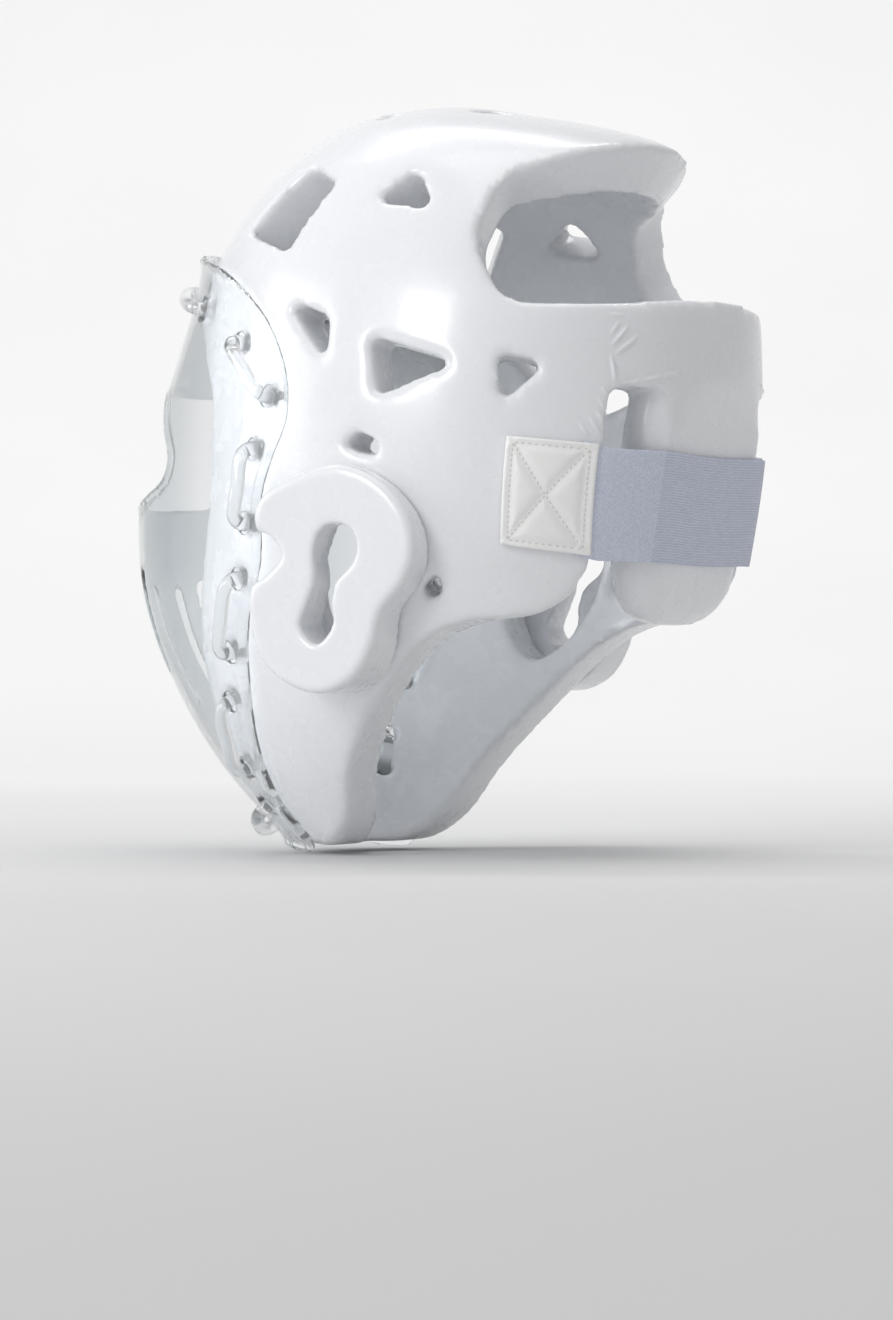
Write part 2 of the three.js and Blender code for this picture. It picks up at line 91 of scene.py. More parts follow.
# %% [markdown]
# ## The surface that everything sits on
# The foam, the face shield, the lace and the strap all follow one rounded surface. It is a stack of
# level sections, each a slightly squared oval with its own reach to the front and to the back. A
# table with a row for each section is easy to read and to change, and a smooth curve through its rows
# gives the surface at any height. A point on it has two numbers: t goes from 0 at the crown to 1 below
# the chin, and the angle goes round from the left side, through the back.

# %% The foam's outer surface
SECTIONS = np.array([
    # height, half width, y of the widest point, of the front and of the back, squareness, shield's bulge
    (19, 0, -2, -2, -2, 2, 0),
    (17.5, 26, -2, -28, 12, 2, 0),
    (14.5, 38, 0, -42, 29, 2, 0),
    (10, 49, 2, -53.5, 51, 2, 0),
    (4, 57.5, 4, -62, 70, 2, 0),
    (-6, 67.5, 6, -74, 85, 2.05, 0),
    (-18, 75, 8, -84, 93, 2.1, 0),
    (-34, 82.5, 9, -92, 97, 2.2, 0),
    (-54, 88.5, 10, -95.5, 98, 2.3, 5),
    (-80, 93, 10, -97, 98, 2.3, 16),
    (-110, 94.5, 8, -97, 97, 2.3, 29),
    (-140, 92, 5, -98, 92, 2.3, 30),
    (-165, 86, 0, -99, 86, 2.3, 23),
    (-190, 76, -5, -96, 80, 2.3, 13),
    (-212, 63, -10, -88, 74, 2.3, 5),
    (-230, 50, -15, -76, 66, 2.2, 0),
    (-246, 38, -20, -62, 56, 2.1, 0),
    (-295, 0, -20, -20, -20, 2, 0),
])
SLOPE_STEP = 1e-3


def read_table(table, t):
    """The table's columns at places t, from its first row, 0, to its last, 1, on a smooth curve."""
    last = len(table) - 1
    place = np.clip(t, 0, 1) * last
    row = np.minimum(place.astype(int), last - 1)
    w = (place - row)[:, None]
    before, start, end, after = (table[np.clip(row + k, 0, last)] for k in (-1, 0, 1, 2))
    leave, arrive = (end - before) / 2, (after - start) / 2
    cubic = 2 * start - 2 * end + leave + arrive
    square = -3 * start + 3 * end - 2 * leave - arrive
    return ((cubic * w + square) * w + leave) * w + start


def foam_point(t, angle):
    z, half, mid, front, back, square, _ = read_table(SECTIONS, t).T
    cos, sin = (np.sign(v) * np.abs(v) ** (2 / square) for v in (np.cos(angle), np.sin(angle)))
    return np.stack([half * cos, mid + np.where(sin < 0, mid - front, back - mid) * sin, z], axis=1)


def foam_normal(t, angle):
    along = foam_point(t, angle + SLOPE_STEP) - foam_point(t, angle - SLOPE_STEP)
    down = foam_point(t + SLOPE_STEP, angle) - foam_point(t - SLOPE_STEP, angle)
    normal = np.cross(down, along)
    normal[t < SLOPE_STEP] = (0, 0, 1)
    normal[t > 1 - SLOPE_STEP] = (0, 0, -1)
    return normal / np.linalg.norm(normal, axis=1, keepdims=True)


def off_foam(t, angle, lift):
    return foam_point(t, angle) + np.reshape(lift, (-1, 1)) * foam_normal(t, angle)


FINE_T = np.linspace(0, 1, 4001)
FINE_Z = read_table(SECTIONS, FINE_T)[:, 0]


def row_at(z):
    """Place t of a height."""
    return np.interp(-np.asarray(z, float), -FINE_Z, FINE_T)


def angle_at(t, y):
    """Angle on the left side at which the surface has this y."""
    _, _, mid, front, back, square, _ = read_table(SECTIONS, t).T
    share = np.where(y < mid, (y - mid) / (mid - front), (y - mid) / (back - mid))
    return np.arcsin(np.sign(share) * np.clip(np.abs(share), 0, 1) ** (square / 2))


def side_point(y, z):
    """Points of the left side by their y and z, as seen from the side."""
    t = row_at(np.atleast_1d(z))
    return foam_point(t, angle_at(t, np.atleast_1d(y)))


print("crown", foam_point(np.zeros(1), np.zeros(1)).round(1), "cheek", side_point(-60, -150).round(1))

# %% [markdown]
# ## Tools for outlines and solids
# Most pieces start as a flat outline, pushed through the wall or along one axis. The outline is a ring of
# points from a circle, moved to a smooth line through a few corners. The line is a centripetal spline,
# which overshoots little where a short span follows a long one. A ring also makes a good cutter: its cap
# is extruded to a closed solid, and a Boolean takes it away from the piece.

# %% Lines through points
FAR = 200


def smooth_span(p0, p1, p2, p3, count):
    """Points from p1 towards p2 on the centripetal spline through four points."""
    k0 = 0.0
    k1 = k0 + np.linalg.norm(p1 - p0) ** 0.5
    k2 = k1 + np.linalg.norm(p2 - p1) ** 0.5
    k3 = k2 + np.linalg.norm(p3 - p2) ** 0.5
    u = np.linspace(k1, k2, count, endpoint=False)[:, None]

    def mix(a, b, start, end):
        return (a * (end - u) + b * (u - start)) / (end - start)

    first = mix(mix(p0, p1, k0, k1), mix(p1, p2, k1, k2), k0, k2)
    second = mix(mix(p1, p2, k1, k2), mix(p2, p3, k2, k3), k1, k3)
    return mix(first, second, k1, k2)


def smooth_line(points, closed=False, per_span=10):
    p = np.asarray(points, float)
    if closed:
        ring = np.vstack([p[-1:], p, p[:2]])
    else:
        ring = np.vstack([2 * p[0] - p[1], p, 2 * p[-1] - p[-2]])
    spans = [smooth_span(*four, per_span) for four in zip(ring, ring[1:], ring[2:], ring[3:])]
    return np.vstack(spans if closed else [*spans, p[-1:]])


def rounded_corners(corners, radius, per_corner=6, most_of_edge=0.45):
    """An outline with straight edges whose corners are rounded."""
    corners = np.asarray(corners, float)
    outline = []
    for before, corner, after in zip(np.roll(corners, 1, 0), corners, np.roll(corners, -1, 0)):
        start, end = (
            corner + (other - corner) * min(radius / np.linalg.norm(other - corner), most_of_edge)
            for other in (before, after)
        )
        for w in np.linspace(0, 1, per_corner):
            outline.append((1 - w) ** 2 * start + 2 * w * (1 - w) * corner + w * w * end)
    return np.array(outline)


print("a rounded triangle has", len(rounded_corners([(0, 0), (9, 0), (0, 9)], 3)), "points")

# %% Solids from outlines
FROM_SIDE = Matrix(((0, 0, 1, 0), (1, 0, 0, 0), (0, 1, 0, 0), (0, 0, 0, 1)))
FROM_FRONT = Matrix(((1, 0, 0, 0), (0, 0, 1, 0), (0, 1, 0, 0), (0, 0, 0, 1)))
MIRROR = Matrix.Scale(-1, 4, (1, 0, 0))


def axes_at(origin, *axes):
    """A matrix that turns x, y and z to three axes and moves to an origin."""
    matrix = Matrix(axes).transposed().to_4x4()
    matrix.translation = origin
    return matrix


def as_object(name, bm):
    """An object with smooth faces that point outwards, made of a mesh that is then freed."""
    bmesh.ops.recalc_face_normals(bm, faces=bm.faces)
    if bm.calc_volume(signed=True) < 0:
        bmesh.ops.reverse_faces(bm, faces=bm.faces)
    for face in bm.faces:
        face.smooth = True
    mesh = bpy.data.meshes.new(name)
    bm.to_mesh(mesh)
    bm.free()
    return new_object(name, mesh)


def move_points(bm, place):
    """Move every vertex to place(x, y, z), worked out for all of them at once."""
    now = np.array([vert.co for vert in bm.verts])
    for vert, point in zip(bm.verts, place(*now.T)):
        vert.co = point


def push(bm, depth):
    """Extrude all faces along z, so that a flat sheet becomes a closed block."""
    made = bmesh.ops.extrude_face_region(bm, geom=bm.faces[:])["geom"]
    bmesh.ops.translate(bm, vec=(0, 0, depth), verts=[v for v in made if isinstance(v, bmesh.types.BMVert)])


def new_grid(across, up, size=0.5):
    """A flat grid that reaches from -size to size both ways."""
    bm = bmesh.new()
    bmesh.ops.create_grid(bm, x_segments=across, y_segments=up, size=size)
    return bm


def flat_ring(outline):
    bm = bmesh.new()
    bmesh.ops.create_circle(bm, cap_ends=True, segments=len(outline), radius=1)
    for vert, (a, b) in zip(bm.verts, outline):
        vert.co = (a, b, 0)
    return bm


def prism(name, outline, place, start, end, both_sides=False):
    bm = flat_ring(outline)
    push(bm, end - start)
    bmesh.ops.transform(bm, matrix=place @ Matrix.Translation((0, 0, start)), verts=bm.verts)
    if both_sides:
        bmesh.ops.mirror(bm, geom=[*bm.verts, *bm.edges, *bm.faces], axis="X")
    return as_object(name, bm)


SKIN_ROUND, SKIN_DOWN = 256, 200
unit_sphere = bmesh.new()
bmesh.ops.create_uvsphere(unit_sphere, u_segments=SKIN_ROUND, v_segments=SKIN_DOWN, radius=1)


def skin(name, place):
    """A closed, rounded skin: each point of a sphere moves to place(t, angle)."""
    bm = unit_sphere.copy()
    move_points(bm, lambda x, y, z: place(np.arccos(np.clip(z, -1, 1)) / math.pi, np.arctan2(y, x)))
    return as_object(name, bm)


def foam_skin(name, lift):
    return skin(name, lambda t, angle: off_foam(t, angle, lift))


outer_skin = foam_skin("outer_skin", 0)
print("outer skin:", len(outer_skin.data.polygons), "faces")

# %% Joining, cutting and smoothing
def baked(made):
    """The object's mesh with its modifiers applied, and the object removed."""
    evaluated = made.evaluated_get(bpy.context.evaluated_depsgraph_get())
    mesh = bpy.data.meshes.new_from_object(evaluated)
    bpy.data.objects.remove(made)
    return mesh


def editable(mesh):
    bm = bmesh.new()
    bm.from_mesh(mesh)
    return bm


def combine(base, operation, others):
    """Cut the others away from the base, join them to it, or keep what they share."""
    for other in others:
        modifier = base.modifiers.new(other.name, "BOOLEAN")
        modifier.operation = operation
        modifier.solver = "MANIFOLD"
        modifier.object = other
    name = base.name
    mesh = baked(base)
    for other in others:
        bpy.data.objects.remove(other)
    return new_object(name, mesh)


def even_mesh(made, voxel):
    """The same form with small even faces, which Booleans and tables don't give."""
    exact = BVHTree.FromObject(made, bpy.context.evaluated_depsgraph_get())
    modifier = made.modifiers.new("even", "REMESH")
    modifier.mode = "VOXEL"
    modifier.voxel_size = voxel
    bm = editable(baked(made))
    for vert in bm.verts:
        vert.co = exact.find_nearest(vert.co)[0]
    return bm


def soften(bm, rounds, verts=None):
    """Round edges off a little, as a dipped or moulded skin does."""
    for _ in range(rounds):
        bmesh.ops.smooth_vert(
            bm, verts=verts or bm.verts, factor=0.5, use_axis_x=True, use_axis_y=True, use_axis_z=True)


def dressed(name, bm, material):
    """Scale the mesh to metres, give it its finish and let it ride on the part."""
    bmesh.ops.scale(bm, vec=(MM, MM, MM), verts=bm.verts)
    made = as_object(name, bm)
    made.data.materials.append(material)
    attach(made, "root")
    return made


def finish_piece(name, bm, material, node):
    """A dressed piece that stands for its solid."""
    made = dressed(name, bm, material)
    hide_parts(node)
    print(name, len(made.data.loops) - 2 * len(made.data.polygons), "triangles")
    return made


def mirrored_copy(made, name, node):
    bm = editable(made.data)
    bmesh.ops.transform(bm, matrix=MIRROR @ Matrix.Scale(1 / MM, 4), verts=bm.verts)
    return finish_piece(name, bm, made.data.materials[0], node)


spans = np.ptp([vert.co for vert in outer_skin.data.vertices], axis=0)
print("the outer skin spans", spans.round(1), "mm")

# %% [markdown]
# ## The white vinyl
# Dipped vinyl is a thick white skin with a soft gloss. It isn't quite flat: there is a fine orange-peel
# texture and a slow unevenness where it ran before it set. Two noises at these sizes feed one bump, and two
# more change the colour and the roughness a little, so that the reflections break up as on the real skin.
# A faint ridge along the middle is the line where the halves of the mould met.

# %% Vinyl
SEAM_HALF_WIDTH = 0.7


def new_material(name, constants):
    """A material, its node tree and its shader, with these constants on the shader's own sockets."""
    material = bpy.data.materials.new(name)
    material.use_nodes = True
    shader = material.node_tree.nodes["Principled BSDF"]
    for socket, value in constants.items():
        shader.inputs[socket].default_value = value
    return material, material.node_tree, shader


def add_node(tree, kind, **values):
    node = tree.nodes.new(kind)
    for key, value in values.items():
        if key in node.inputs:
            node.inputs[key].default_value = value
        else:
            setattr(node, key, value)
    return node


def noise(tree, coordinates, scale, detail, roughness=0.5):
    node = add_node(tree, "ShaderNodeTexNoise", Scale=scale, Detail=detail, Roughness=roughness)
    tree.links.new(coordinates, node.inputs["Vector"])
    return node.outputs["Fac"]


def calculate(tree, operation, a, b=None, clamp=False):
    node = add_node(tree, "ShaderNodeMath", operation=operation, use_clamp=clamp)
    for socket, value in zip(node.inputs, (a, b)):
        if isinstance(value, (int, float)):
            socket.default_value = value
        elif value is not None:
            tree.links.new(value, socket)
    return node.outputs["Value"]


def ramp(tree, value, *stops):
    """A colour ramp with stops of (place, colour)."""
    node = add_node(tree, "ShaderNodeValToRGB")
    elements = node.color_ramp.elements
    while len(elements) < len(stops):
        elements.new(0.5)
    for element, (place, colour) in zip(elements, stops):
        element.position = place
        element.color = (*colour, 1)
    tree.links.new(value, node.inputs["Fac"])
    return node.outputs["Color"]


def vary(tree, shader, socket, value, *stops):
    """Feed one socket of the shader from a colour ramp."""
    colour = ramp(tree, value, *stops)
    tree.links.new(colour, shader.inputs[socket])
    return colour


def grey(value):
    return (value, value, value)


def bump(tree, shader, height, distance, strength):
    node = add_node(tree, "ShaderNodeBump", Strength=strength, Distance=distance)
    tree.links.new(height, node.inputs["Height"])
    tree.links.new(node.outputs["Normal"], shader.inputs["Normal"])


def object_coordinates(tree):
    return add_node(tree, "ShaderNodeTexCoord").outputs["Object"]


def split_axes(tree, vector):
    """The x, y and z of a vector, as three outputs."""
    node = add_node(tree, "ShaderNodeSeparateXYZ")
    tree.links.new(vector, node.inputs["Vector"])
    return node.outputs["X"], node.outputs["Y"], node.outputs["Z"]


def weighted_sum(tree, *parts):
    """Add values up, each of them times its weight."""
    total = 0.0
    for value, weight in parts:
        total = calculate(tree, "ADD", calculate(tree, "MULTIPLY", value, weight), total)
    return total


def vinyl_material():
    material, tree, shader = new_material(
        "dipped_white_vinyl", {"IOR": 1.5, "Coat Weight": 0.35, "Coat Roughness": 0.12})
    place = object_coordinates(tree)
    x, _, _ = split_axes(tree, place)
    from_middle = calculate(tree, "MULTIPLY", calculate(tree, "ABSOLUTE", x), 1 / (SEAM_HALF_WIDTH * MM))
    seam = calculate(tree, "SUBTRACT", 1.0, from_middle, clamp=True)
    slow, peel = noise(tree, place, 30, 1), noise(tree, place, 600, 2)
    bump(tree, shader, weighted_sum(tree, (slow, 0.12), (peel, 0.008), (seam, 0.35)), 0.5 * MM, 0.7)
    cloudy, dull = noise(tree, place, 16, 4), noise(tree, place, 90, 3)
    vary(tree, shader, "Base Color", cloudy, (0.3, (0.815, 0.829, 0.857)), (0.7, (0.84, 0.851, 0.877)))
    vary(tree, shader, "Roughness", dull, (0.3, grey(0.24)), (0.75, grey(0.31)))
    return material


vinyl = vinyl_material()
print("material", vinyl.name, len(vinyl.node_tree.nodes), "nodes")

# %% [markdown]
# ## Openings in the foam
# The face and the back of the shell are open, triangular vents let air in, and there is a hole under each
# ear guard. An opening for the face or the back is cut square to the wall all the way round, so its cutter
# is a sheet that is bent to the surface and given depth along the surface's normals. A vent is smaller, so
# a straight prism along the normal at its middle is enough.

# %% Cutters of the foam shell
FOAM = 19
FACE_OPENING = np.array([
    # degrees from the left side, upper edge, lower edge: from the opening's left side to its middle
    (-43, -95, -107), (-44.8, -85, -122), (-49, -75.3, -145), (-52.6, -68, -168), (-54.4, -65.5, -190),
    (-56, -63.7, -207), (-62, -59.6, -214), (-70, -57.6, -219), (-90, -57, -223),
])
BACK_OPENING = np.array([
    (18, -29.5, -37), (20.5, -21, -45), (23, -15.5, -51.5), (28.5, -9.5, -55), (40, -5, -55.5),
    (54, -1.2, -55), (75, 1.8, -53), (90, 2.3, -52.5),
])
JAW_EDGE = [
    # y and height as seen from the side, as in the other outlines of the side
    (-FAR, -241), (-52, -241), (-38, -241), (-27, -232), (-19, -214), (-1.5, -190), (15, -173), (31, -164.5),
    (55, -161.5), (80, -160.5),
]
EAR_OPENING = [(-5, -121), (12, -133), (13, -150), (4, -168), (-9, -176), (-21, -164), (-21, -140)]
VENTS = [
    # corners as seen from the side
    [(-2.5, -18.5), (11.5, -8), (21, -22.5)],
    [(-33, -51.5), (-14, -58.5), (-12, -76.5)],
    [(4, -66), (37, -76), (8, -86.5)],
    [(50, -73), (65, -76), (51.5, -90)],
    [(-5, -104), (1, -98.5), (10, -103), (9, -107.5)],
    [(19, -156.5), (29.5, -145.5), (29.5, -155)],
    [(-61, -26.5), (-36, -35), (-22, -11), (-37, -4)],
]
CROWN_VENTS = [
    # height, degrees from the left side, corners round that point
    (16, -30, [(-7, -9), (8, -5), (-5, 9)]),
    (15, 48, [(-8, -9), (9, -3), (-6, 10)]),
]
VENT_ROUND = 2.2
CUT_INSIDE, CUT_OUTSIDE = 29, 15
CUT_ACROSS, CUT_DOWN = 84, 24
BELOW_ALL = -300


def wall_frame(t, angle):
    """A matrix that turns x, y and z to sideways, down and outward at a point of the surface."""
    t, angle = np.atleast_1d(t), np.atleast_1d(angle)
    outward = Vector(foam_normal(t, angle)[0])
    down = Vector((foam_point(t + SLOPE_STEP, angle) - foam_point(t, angle))[0])
    down = (down - outward * down.dot(outward)).normalized()
    side = down.cross(outward).normalized()
    return axes_at(foam_point(t, angle)[0], side, down, outward)


def wall_cutter(name, edges):
    """A block that is bent to the wall, between the upper and the lower edge of an opening."""
    bm = new_grid(CUT_ACROSS, CUT_DOWN, size=1)
    push(bm, 1)

    def place(x, y, z):
        angle, upper, lower = read_table(edges, 1 - np.abs(x)).T
        height = lower + (upper - lower) * (y + 1) / 2
        turn = np.radians(np.where(x > 0, angle, 180 - angle))
        return off_foam(row_at(height), turn, (CUT_INSIDE + CUT_OUTSIDE) * z - CUT_INSIDE)

    move_points(bm, place)
    return as_object(name, bm)


def vent_cutters():
    for corners in VENTS:
        spots = side_point(*np.array(corners, float).T)
        y, z = np.mean(corners, axis=0)
        t = row_at([z])
        into_wall = wall_frame(t, angle_at(t, np.array([y])))
        flat = [(into_wall.inverted() @ Vector(spot)).to_2d() for spot in spots]
        yield rounded_corners(flat, VENT_ROUND), into_wall
    for z, degrees, corners in CROWN_VENTS:
        yield rounded_corners(corners, VENT_ROUND), wall_frame(row_at([z]), math.radians(degrees))


def foam_cutters():
    below = [*smooth_line(JAW_EDGE), (JAW_EDGE[-1][0], BELOW_ALL), (-FAR, BELOW_ALL)]
    yield wall_cutter("face_opening", FACE_OPENING)
    yield wall_cutter("back_opening", BACK_OPENING)
    yield prism("below_jaw", below, FROM_SIDE, -FAR, FAR)
    yield prism("ear_openings", smooth_line(EAR_OPENING, closed=True), FROM_SIDE, -FAR, FAR)
    for outline, into_wall in vent_cutters():
        yield prism("vents", outline, into_wall, -2 * FOAM, FOAM, both_sides=True)


print(len(VENTS) + len(CROWN_VENTS), "vents on each side")

# %% [markdown]
# ## The back pad and its bays
# The back of the shell ends in a flat-faced pad that hangs from the back band, with an open bay on each
# side where the wall flexes. The pad is its own prism with sloping edges: its two caps are inset and moved
# out in one step. It overlaps the band, and the even mesh that follows turns both into one skin.

# %% Bays and back pad
BAY_ANGLE, BAY_HEIGHT, BAY_INSIDE, BAY_DEPTH = 52, -110, 48, 76
BAY_OUTLINE = [
    # towards the back, height
    (-0.5, -92), (0, -87), (5, -84), (80, -84), (80, -200), (-22, -200), (-22, -162), (-16, -159.5),
    (-8, -154), (-3.5, -143), (-1, -110),
]
PAD_OUTLINE = [
    # distance from the middle, height
    (0, -76), (32, -76), (40, -84), (43, -98), (39, -140), (36, -153), (27, -163), (14, -166), (0, -166.5),
]
PAD_FACE, PAD_LEAN, PAD_LEAN_FROM, PAD_WALL, PAD_SLOPE = 95, math.radians(9), -84, 7, 6


def bay_cutters():
    t, angle = row_at([BAY_HEIGHT]), np.array([math.radians(BAY_ANGLE)])
    outward = Vector(foam_normal(t, angle)[0]).to_2d().normalized().to_3d()
    towards_back = Vector((-outward.y, outward.x, 0))
    x, y, _ = foam_point(t, angle)[0]
    place = axes_at((x, y, 0), towards_back, Vector((0, 0, 1)), outward)
    for side in (Matrix(), MIRROR):
        yield prism("bay", BAY_OUTLINE, side @ place, -BAY_INSIDE, BAY_DEPTH - BAY_INSIDE)


def pad_frame():
    up = Vector((0, math.sin(PAD_LEAN), math.cos(PAD_LEAN)))
    out = Vector((0, math.cos(PAD_LEAN), -math.sin(PAD_LEAN)))
    return axes_at((0, PAD_FACE, PAD_LEAN_FROM), Vector((1, 0, 0)), up, out)


def back_pad():
    half = smooth_line(PAD_OUTLINE)[1:-1] - (0, PAD_LEAN_FROM)
    outline = np.vstack([half, half[::-1] * (-1, 1)])
    bm = flat_ring(outline)
    push(bm, PAD_WALL)
    bmesh.ops.recalc_face_normals(bm, faces=bm.faces)
    caps = [face for face in bm.faces if len(face.verts) > 4]
    bmesh.ops.inset_region(bm, faces=caps, thickness=PAD_SLOPE, depth=PAD_SLOPE, use_even_offset=True)
    bmesh.ops.transform(
        bm, matrix=pad_frame() @ Matrix.Translation((0, 0, -PAD_WALL - PAD_SLOPE)), verts=bm.verts)
    return as_object("back_pad", bm)


print("pad leans", round(math.degrees(PAD_LEAN)), "degrees")

# %% [markdown]
# ## Lace holes
# The lace goes in and out through the shield and the foam, so both have the same holes. Each hole is a
# thin cylinder from a point inside the foam to one outside the shield, so the shield's surface is needed
# here as well: it is the foam's surface, lifted a little and pushed forward in front of the face.

# %% Face shield surface and lace holes
SHIELD_SEAT, SHIELD_WALL, SHIELD_SPREAD = 0.7, 2.5, 52
FLARE_LIFT, FLARE_FROM, FLARE_FULL = 3, -52, -30
LACE_HOLES = [
    # degrees from the front, height: from the forehead to the chin
    (17, -46), (40, -54), (58.5, -67), (68.5, -86), (65, -104), (63, -129), (61, -148), (57, -173),
    (53, -190), (48.5, -213), (45, -226), (18, -233),
]
LACE_RADIUS, LACE_LIFT, LACE_SLACK = 2.5, 1, 2
LACE_HOLE_RADIUS, LACE_HOLE_SIDES = 3.7, 24


def smoothstep(value):
    value = np.clip(value, 0, 1)
    return value * value * (3 - 2 * value)


def shield_point(t, angle, lift):
    """The shield lies on the foam at the sides and bulges forward over the face."""
    table = read_table(SECTIONS, t)
    front = np.abs(np.degrees(np.arctan2(np.sin(angle + math.pi / 2), np.cos(angle + math.pi / 2))))
    flare = FLARE_LIFT * smoothstep((table[:, 0] - FLARE_FROM) / (FLARE_FULL - FLARE_FROM))
    points = off_foam(t, angle, SHIELD_SEAT + flare + lift)
    points[:, 1] -= table[:, 6] * smoothstep(1 - front / SHIELD_SPREAD)
    return points


lace_turns = np.radians([front - 90 for front, _ in LACE_HOLES])
LACE_ANGLES = np.concatenate([-math.pi - lace_turns[::-1], lace_turns])
LACE_ROWS = row_at([z for _, z in [*LACE_HOLES[::-1], *LACE_HOLES]])


def outside_shield(t, angle):
    return shield_point(np.atleast_1d(t), np.atleast_1d(angle), SHIELD_WALL + LACE_RADIUS + LACE_LIFT)


def inside_foam(t, angle):
    return off_foam(np.atleast_1d(t), np.atleast_1d(angle), -FOAM - LACE_RADIUS - LACE_SLACK)


def hole_cutter():
    bm = bmesh.new()
    for inner, outer in zip(inside_foam(LACE_ROWS, LACE_ANGLES), outside_shield(LACE_ROWS, LACE_ANGLES)):
        axis = Vector(outer - inner)
        place = Matrix.Translation((inner + outer) / 2) @ axis.to_track_quat("Z", "Y").to_matrix().to_4x4()
        bmesh.ops.create_cone(
            bm, cap_ends=True, segments=LACE_HOLE_SIDES, radius1=LACE_HOLE_RADIUS, radius2=LACE_HOLE_RADIUS,
            depth=axis.length + 2 * LACE_HOLE_RADIUS, matrix=place)
    return as_object("lace_holes", bm)


print(len(LACE_ANGLES), "lace holes")

# %% [markdown]
# ## Creases
# Where the wall bends most, at the top of each bay, the vinyl skin has gathered into small creases: a fold
# across the top of the pad, a few across the band, and a row of short ones on the side panel. Each crease is
# a line on the surface. The mesh is made finer round the lines and lifted into a ridge between two furrows.

# %% Creases in the vinyl
CREASES = [
    # degrees from the left side and height of both ends, and the ridge's height
    (51.2, -70.2, 55.6, -63.3, 0.5), (52, -73.4, 58.6, -66.4, 0.45), (50.6, -66.5, 53.2, -62, 0.3),
    (51.2, -73.4, 52.7, -82.6, 0.6), (52.5, -84.2, 60, -81.8, 0.5), (60, -81.8, 66, -80, 0.5),
    (66, -80, 72, -78.4, 0.35), (63, -84.5, 71, -87, 0.3), (49, -84.6, 51.5, -87.4, 0.4),
    (48.3, -88.2, 51.3, -93, 0.4), (48.1, -92.3, 51.5, -98.8, 0.5), (46.3, -94.5, 49.5, -100.2, 0.45),
    (43.9, -96.6, 46.6, -101, 0.35), (50, -59.6, 54.5, -60.2, 0.25),
]
CREASE_WIDTH, CREASE_REACH, CREASE_HEIGHT, CREASE_CUTS = 0.85, 2.8, 1.3, 3


def crease_ends():
    """Both ends of every crease on both sides, and the heights of the ridges."""
    table = np.array(CREASES)
    left = [foam_point(row_at(table[:, k + 1]), np.radians(table[:, k])) for k in (0, 2)]
    start, end = (np.vstack([points, points * (-1, 1, 1)]) for points in left)
    return start, end, np.tile(table[:, 4], 2)


def crease_distance(points, start, end):
    """Distance to a crease, and how far along it each point is."""
    along = end - start
    share = np.clip((points - start) @ along / (along @ along), 0, 1)
    return np.linalg.norm(points - start - share[:, None] * along, axis=1), share


def crease_skin(bm):
    starts, ends, heights = crease_ends()
    points = np.array([vert.co for vert in bm.verts])
    near = np.min([crease_distance(points, *line)[0] for line in zip(starts, ends)], axis=0) < CREASE_REACH
    bm.verts.index_update()
    edges = [edge for edge in bm.edges if all(near[vert.index] for vert in edge.verts)]
    bmesh.ops.subdivide_edges(bm, edges=edges, cuts=CREASE_CUTS, use_grid_fill=True)
    bm.normal_update()
    points = np.array([vert.co for vert in bm.verts])
    lift = np.zeros(len(points))
    for start, end, height in zip(starts, ends, heights):
        distance, share = crease_distance(points, start, end)
        far = (distance / CREASE_WIDTH) ** 2
        lift += CREASE_HEIGHT * height * np.sin(math.pi * share) * (1 - far) * np.exp(-far)
    for vert, rise in zip(bm.verts, lift):
        vert.co += vert.normal * rise


print(2 * len(CREASES), "creases")

# %% [markdown]
# ## The foam shell
# The wall is the space between two skins, with all the openings cut from it. A Boolean leaves long thin
# faces and knife edges, and a bevel fails on those. So the wall is remeshed with even faces of about two
# millimetres, put back on the cut form and smoothed a little, which rounds every edge as the dipped vinyl
# does. The step where the pad grows out of the band is smoothed much more.

# %% Build the foam shell
SHELL_VOXEL, SHELL_ROUNDS = 1.95, 4
BLEND_WIDTH, BLEND_FRONT, BLEND_TOP, BLEND_BOTTOM, BLEND_ROUNDS = 38, 89, -62, -96, 40


def foam_shell():
    inner_skin = foam_skin("inner_skin", -FOAM)
    wall = combine(outer_skin, "DIFFERENCE", [inner_skin, *foam_cutters(), *bay_cutters()])
    wall = combine(wall, "UNION", [back_pad()])
    wall = combine(wall, "DIFFERENCE", [hole_cutter()])
    bm = even_mesh(wall, SHELL_VOXEL)
    soften(bm, SHELL_ROUNDS)
    blend = [
        vert for vert in bm.verts
        if abs(vert.co.x) < BLEND_WIDTH and vert.co.y > BLEND_FRONT and BLEND_BOTTOM < vert.co.z < BLEND_TOP
    ]
    soften(bm, BLEND_ROUNDS, blend)
    crease_skin(bm)
    return finish_piece("foam_shell_skin", bm, vinyl, "foam_shell")


shell = foam_shell()

# %% [markdown]
# ## The ear guards
# Each ear guard is a thick bean of the same dipped foam with a keyhole through it, glued to the shell. It
# is a prism along x whose outer cap is inset and raised to start the round edge. A skin that lies just off
# the shell cuts its back, so it follows the shell closely. The right one is a mirror image.

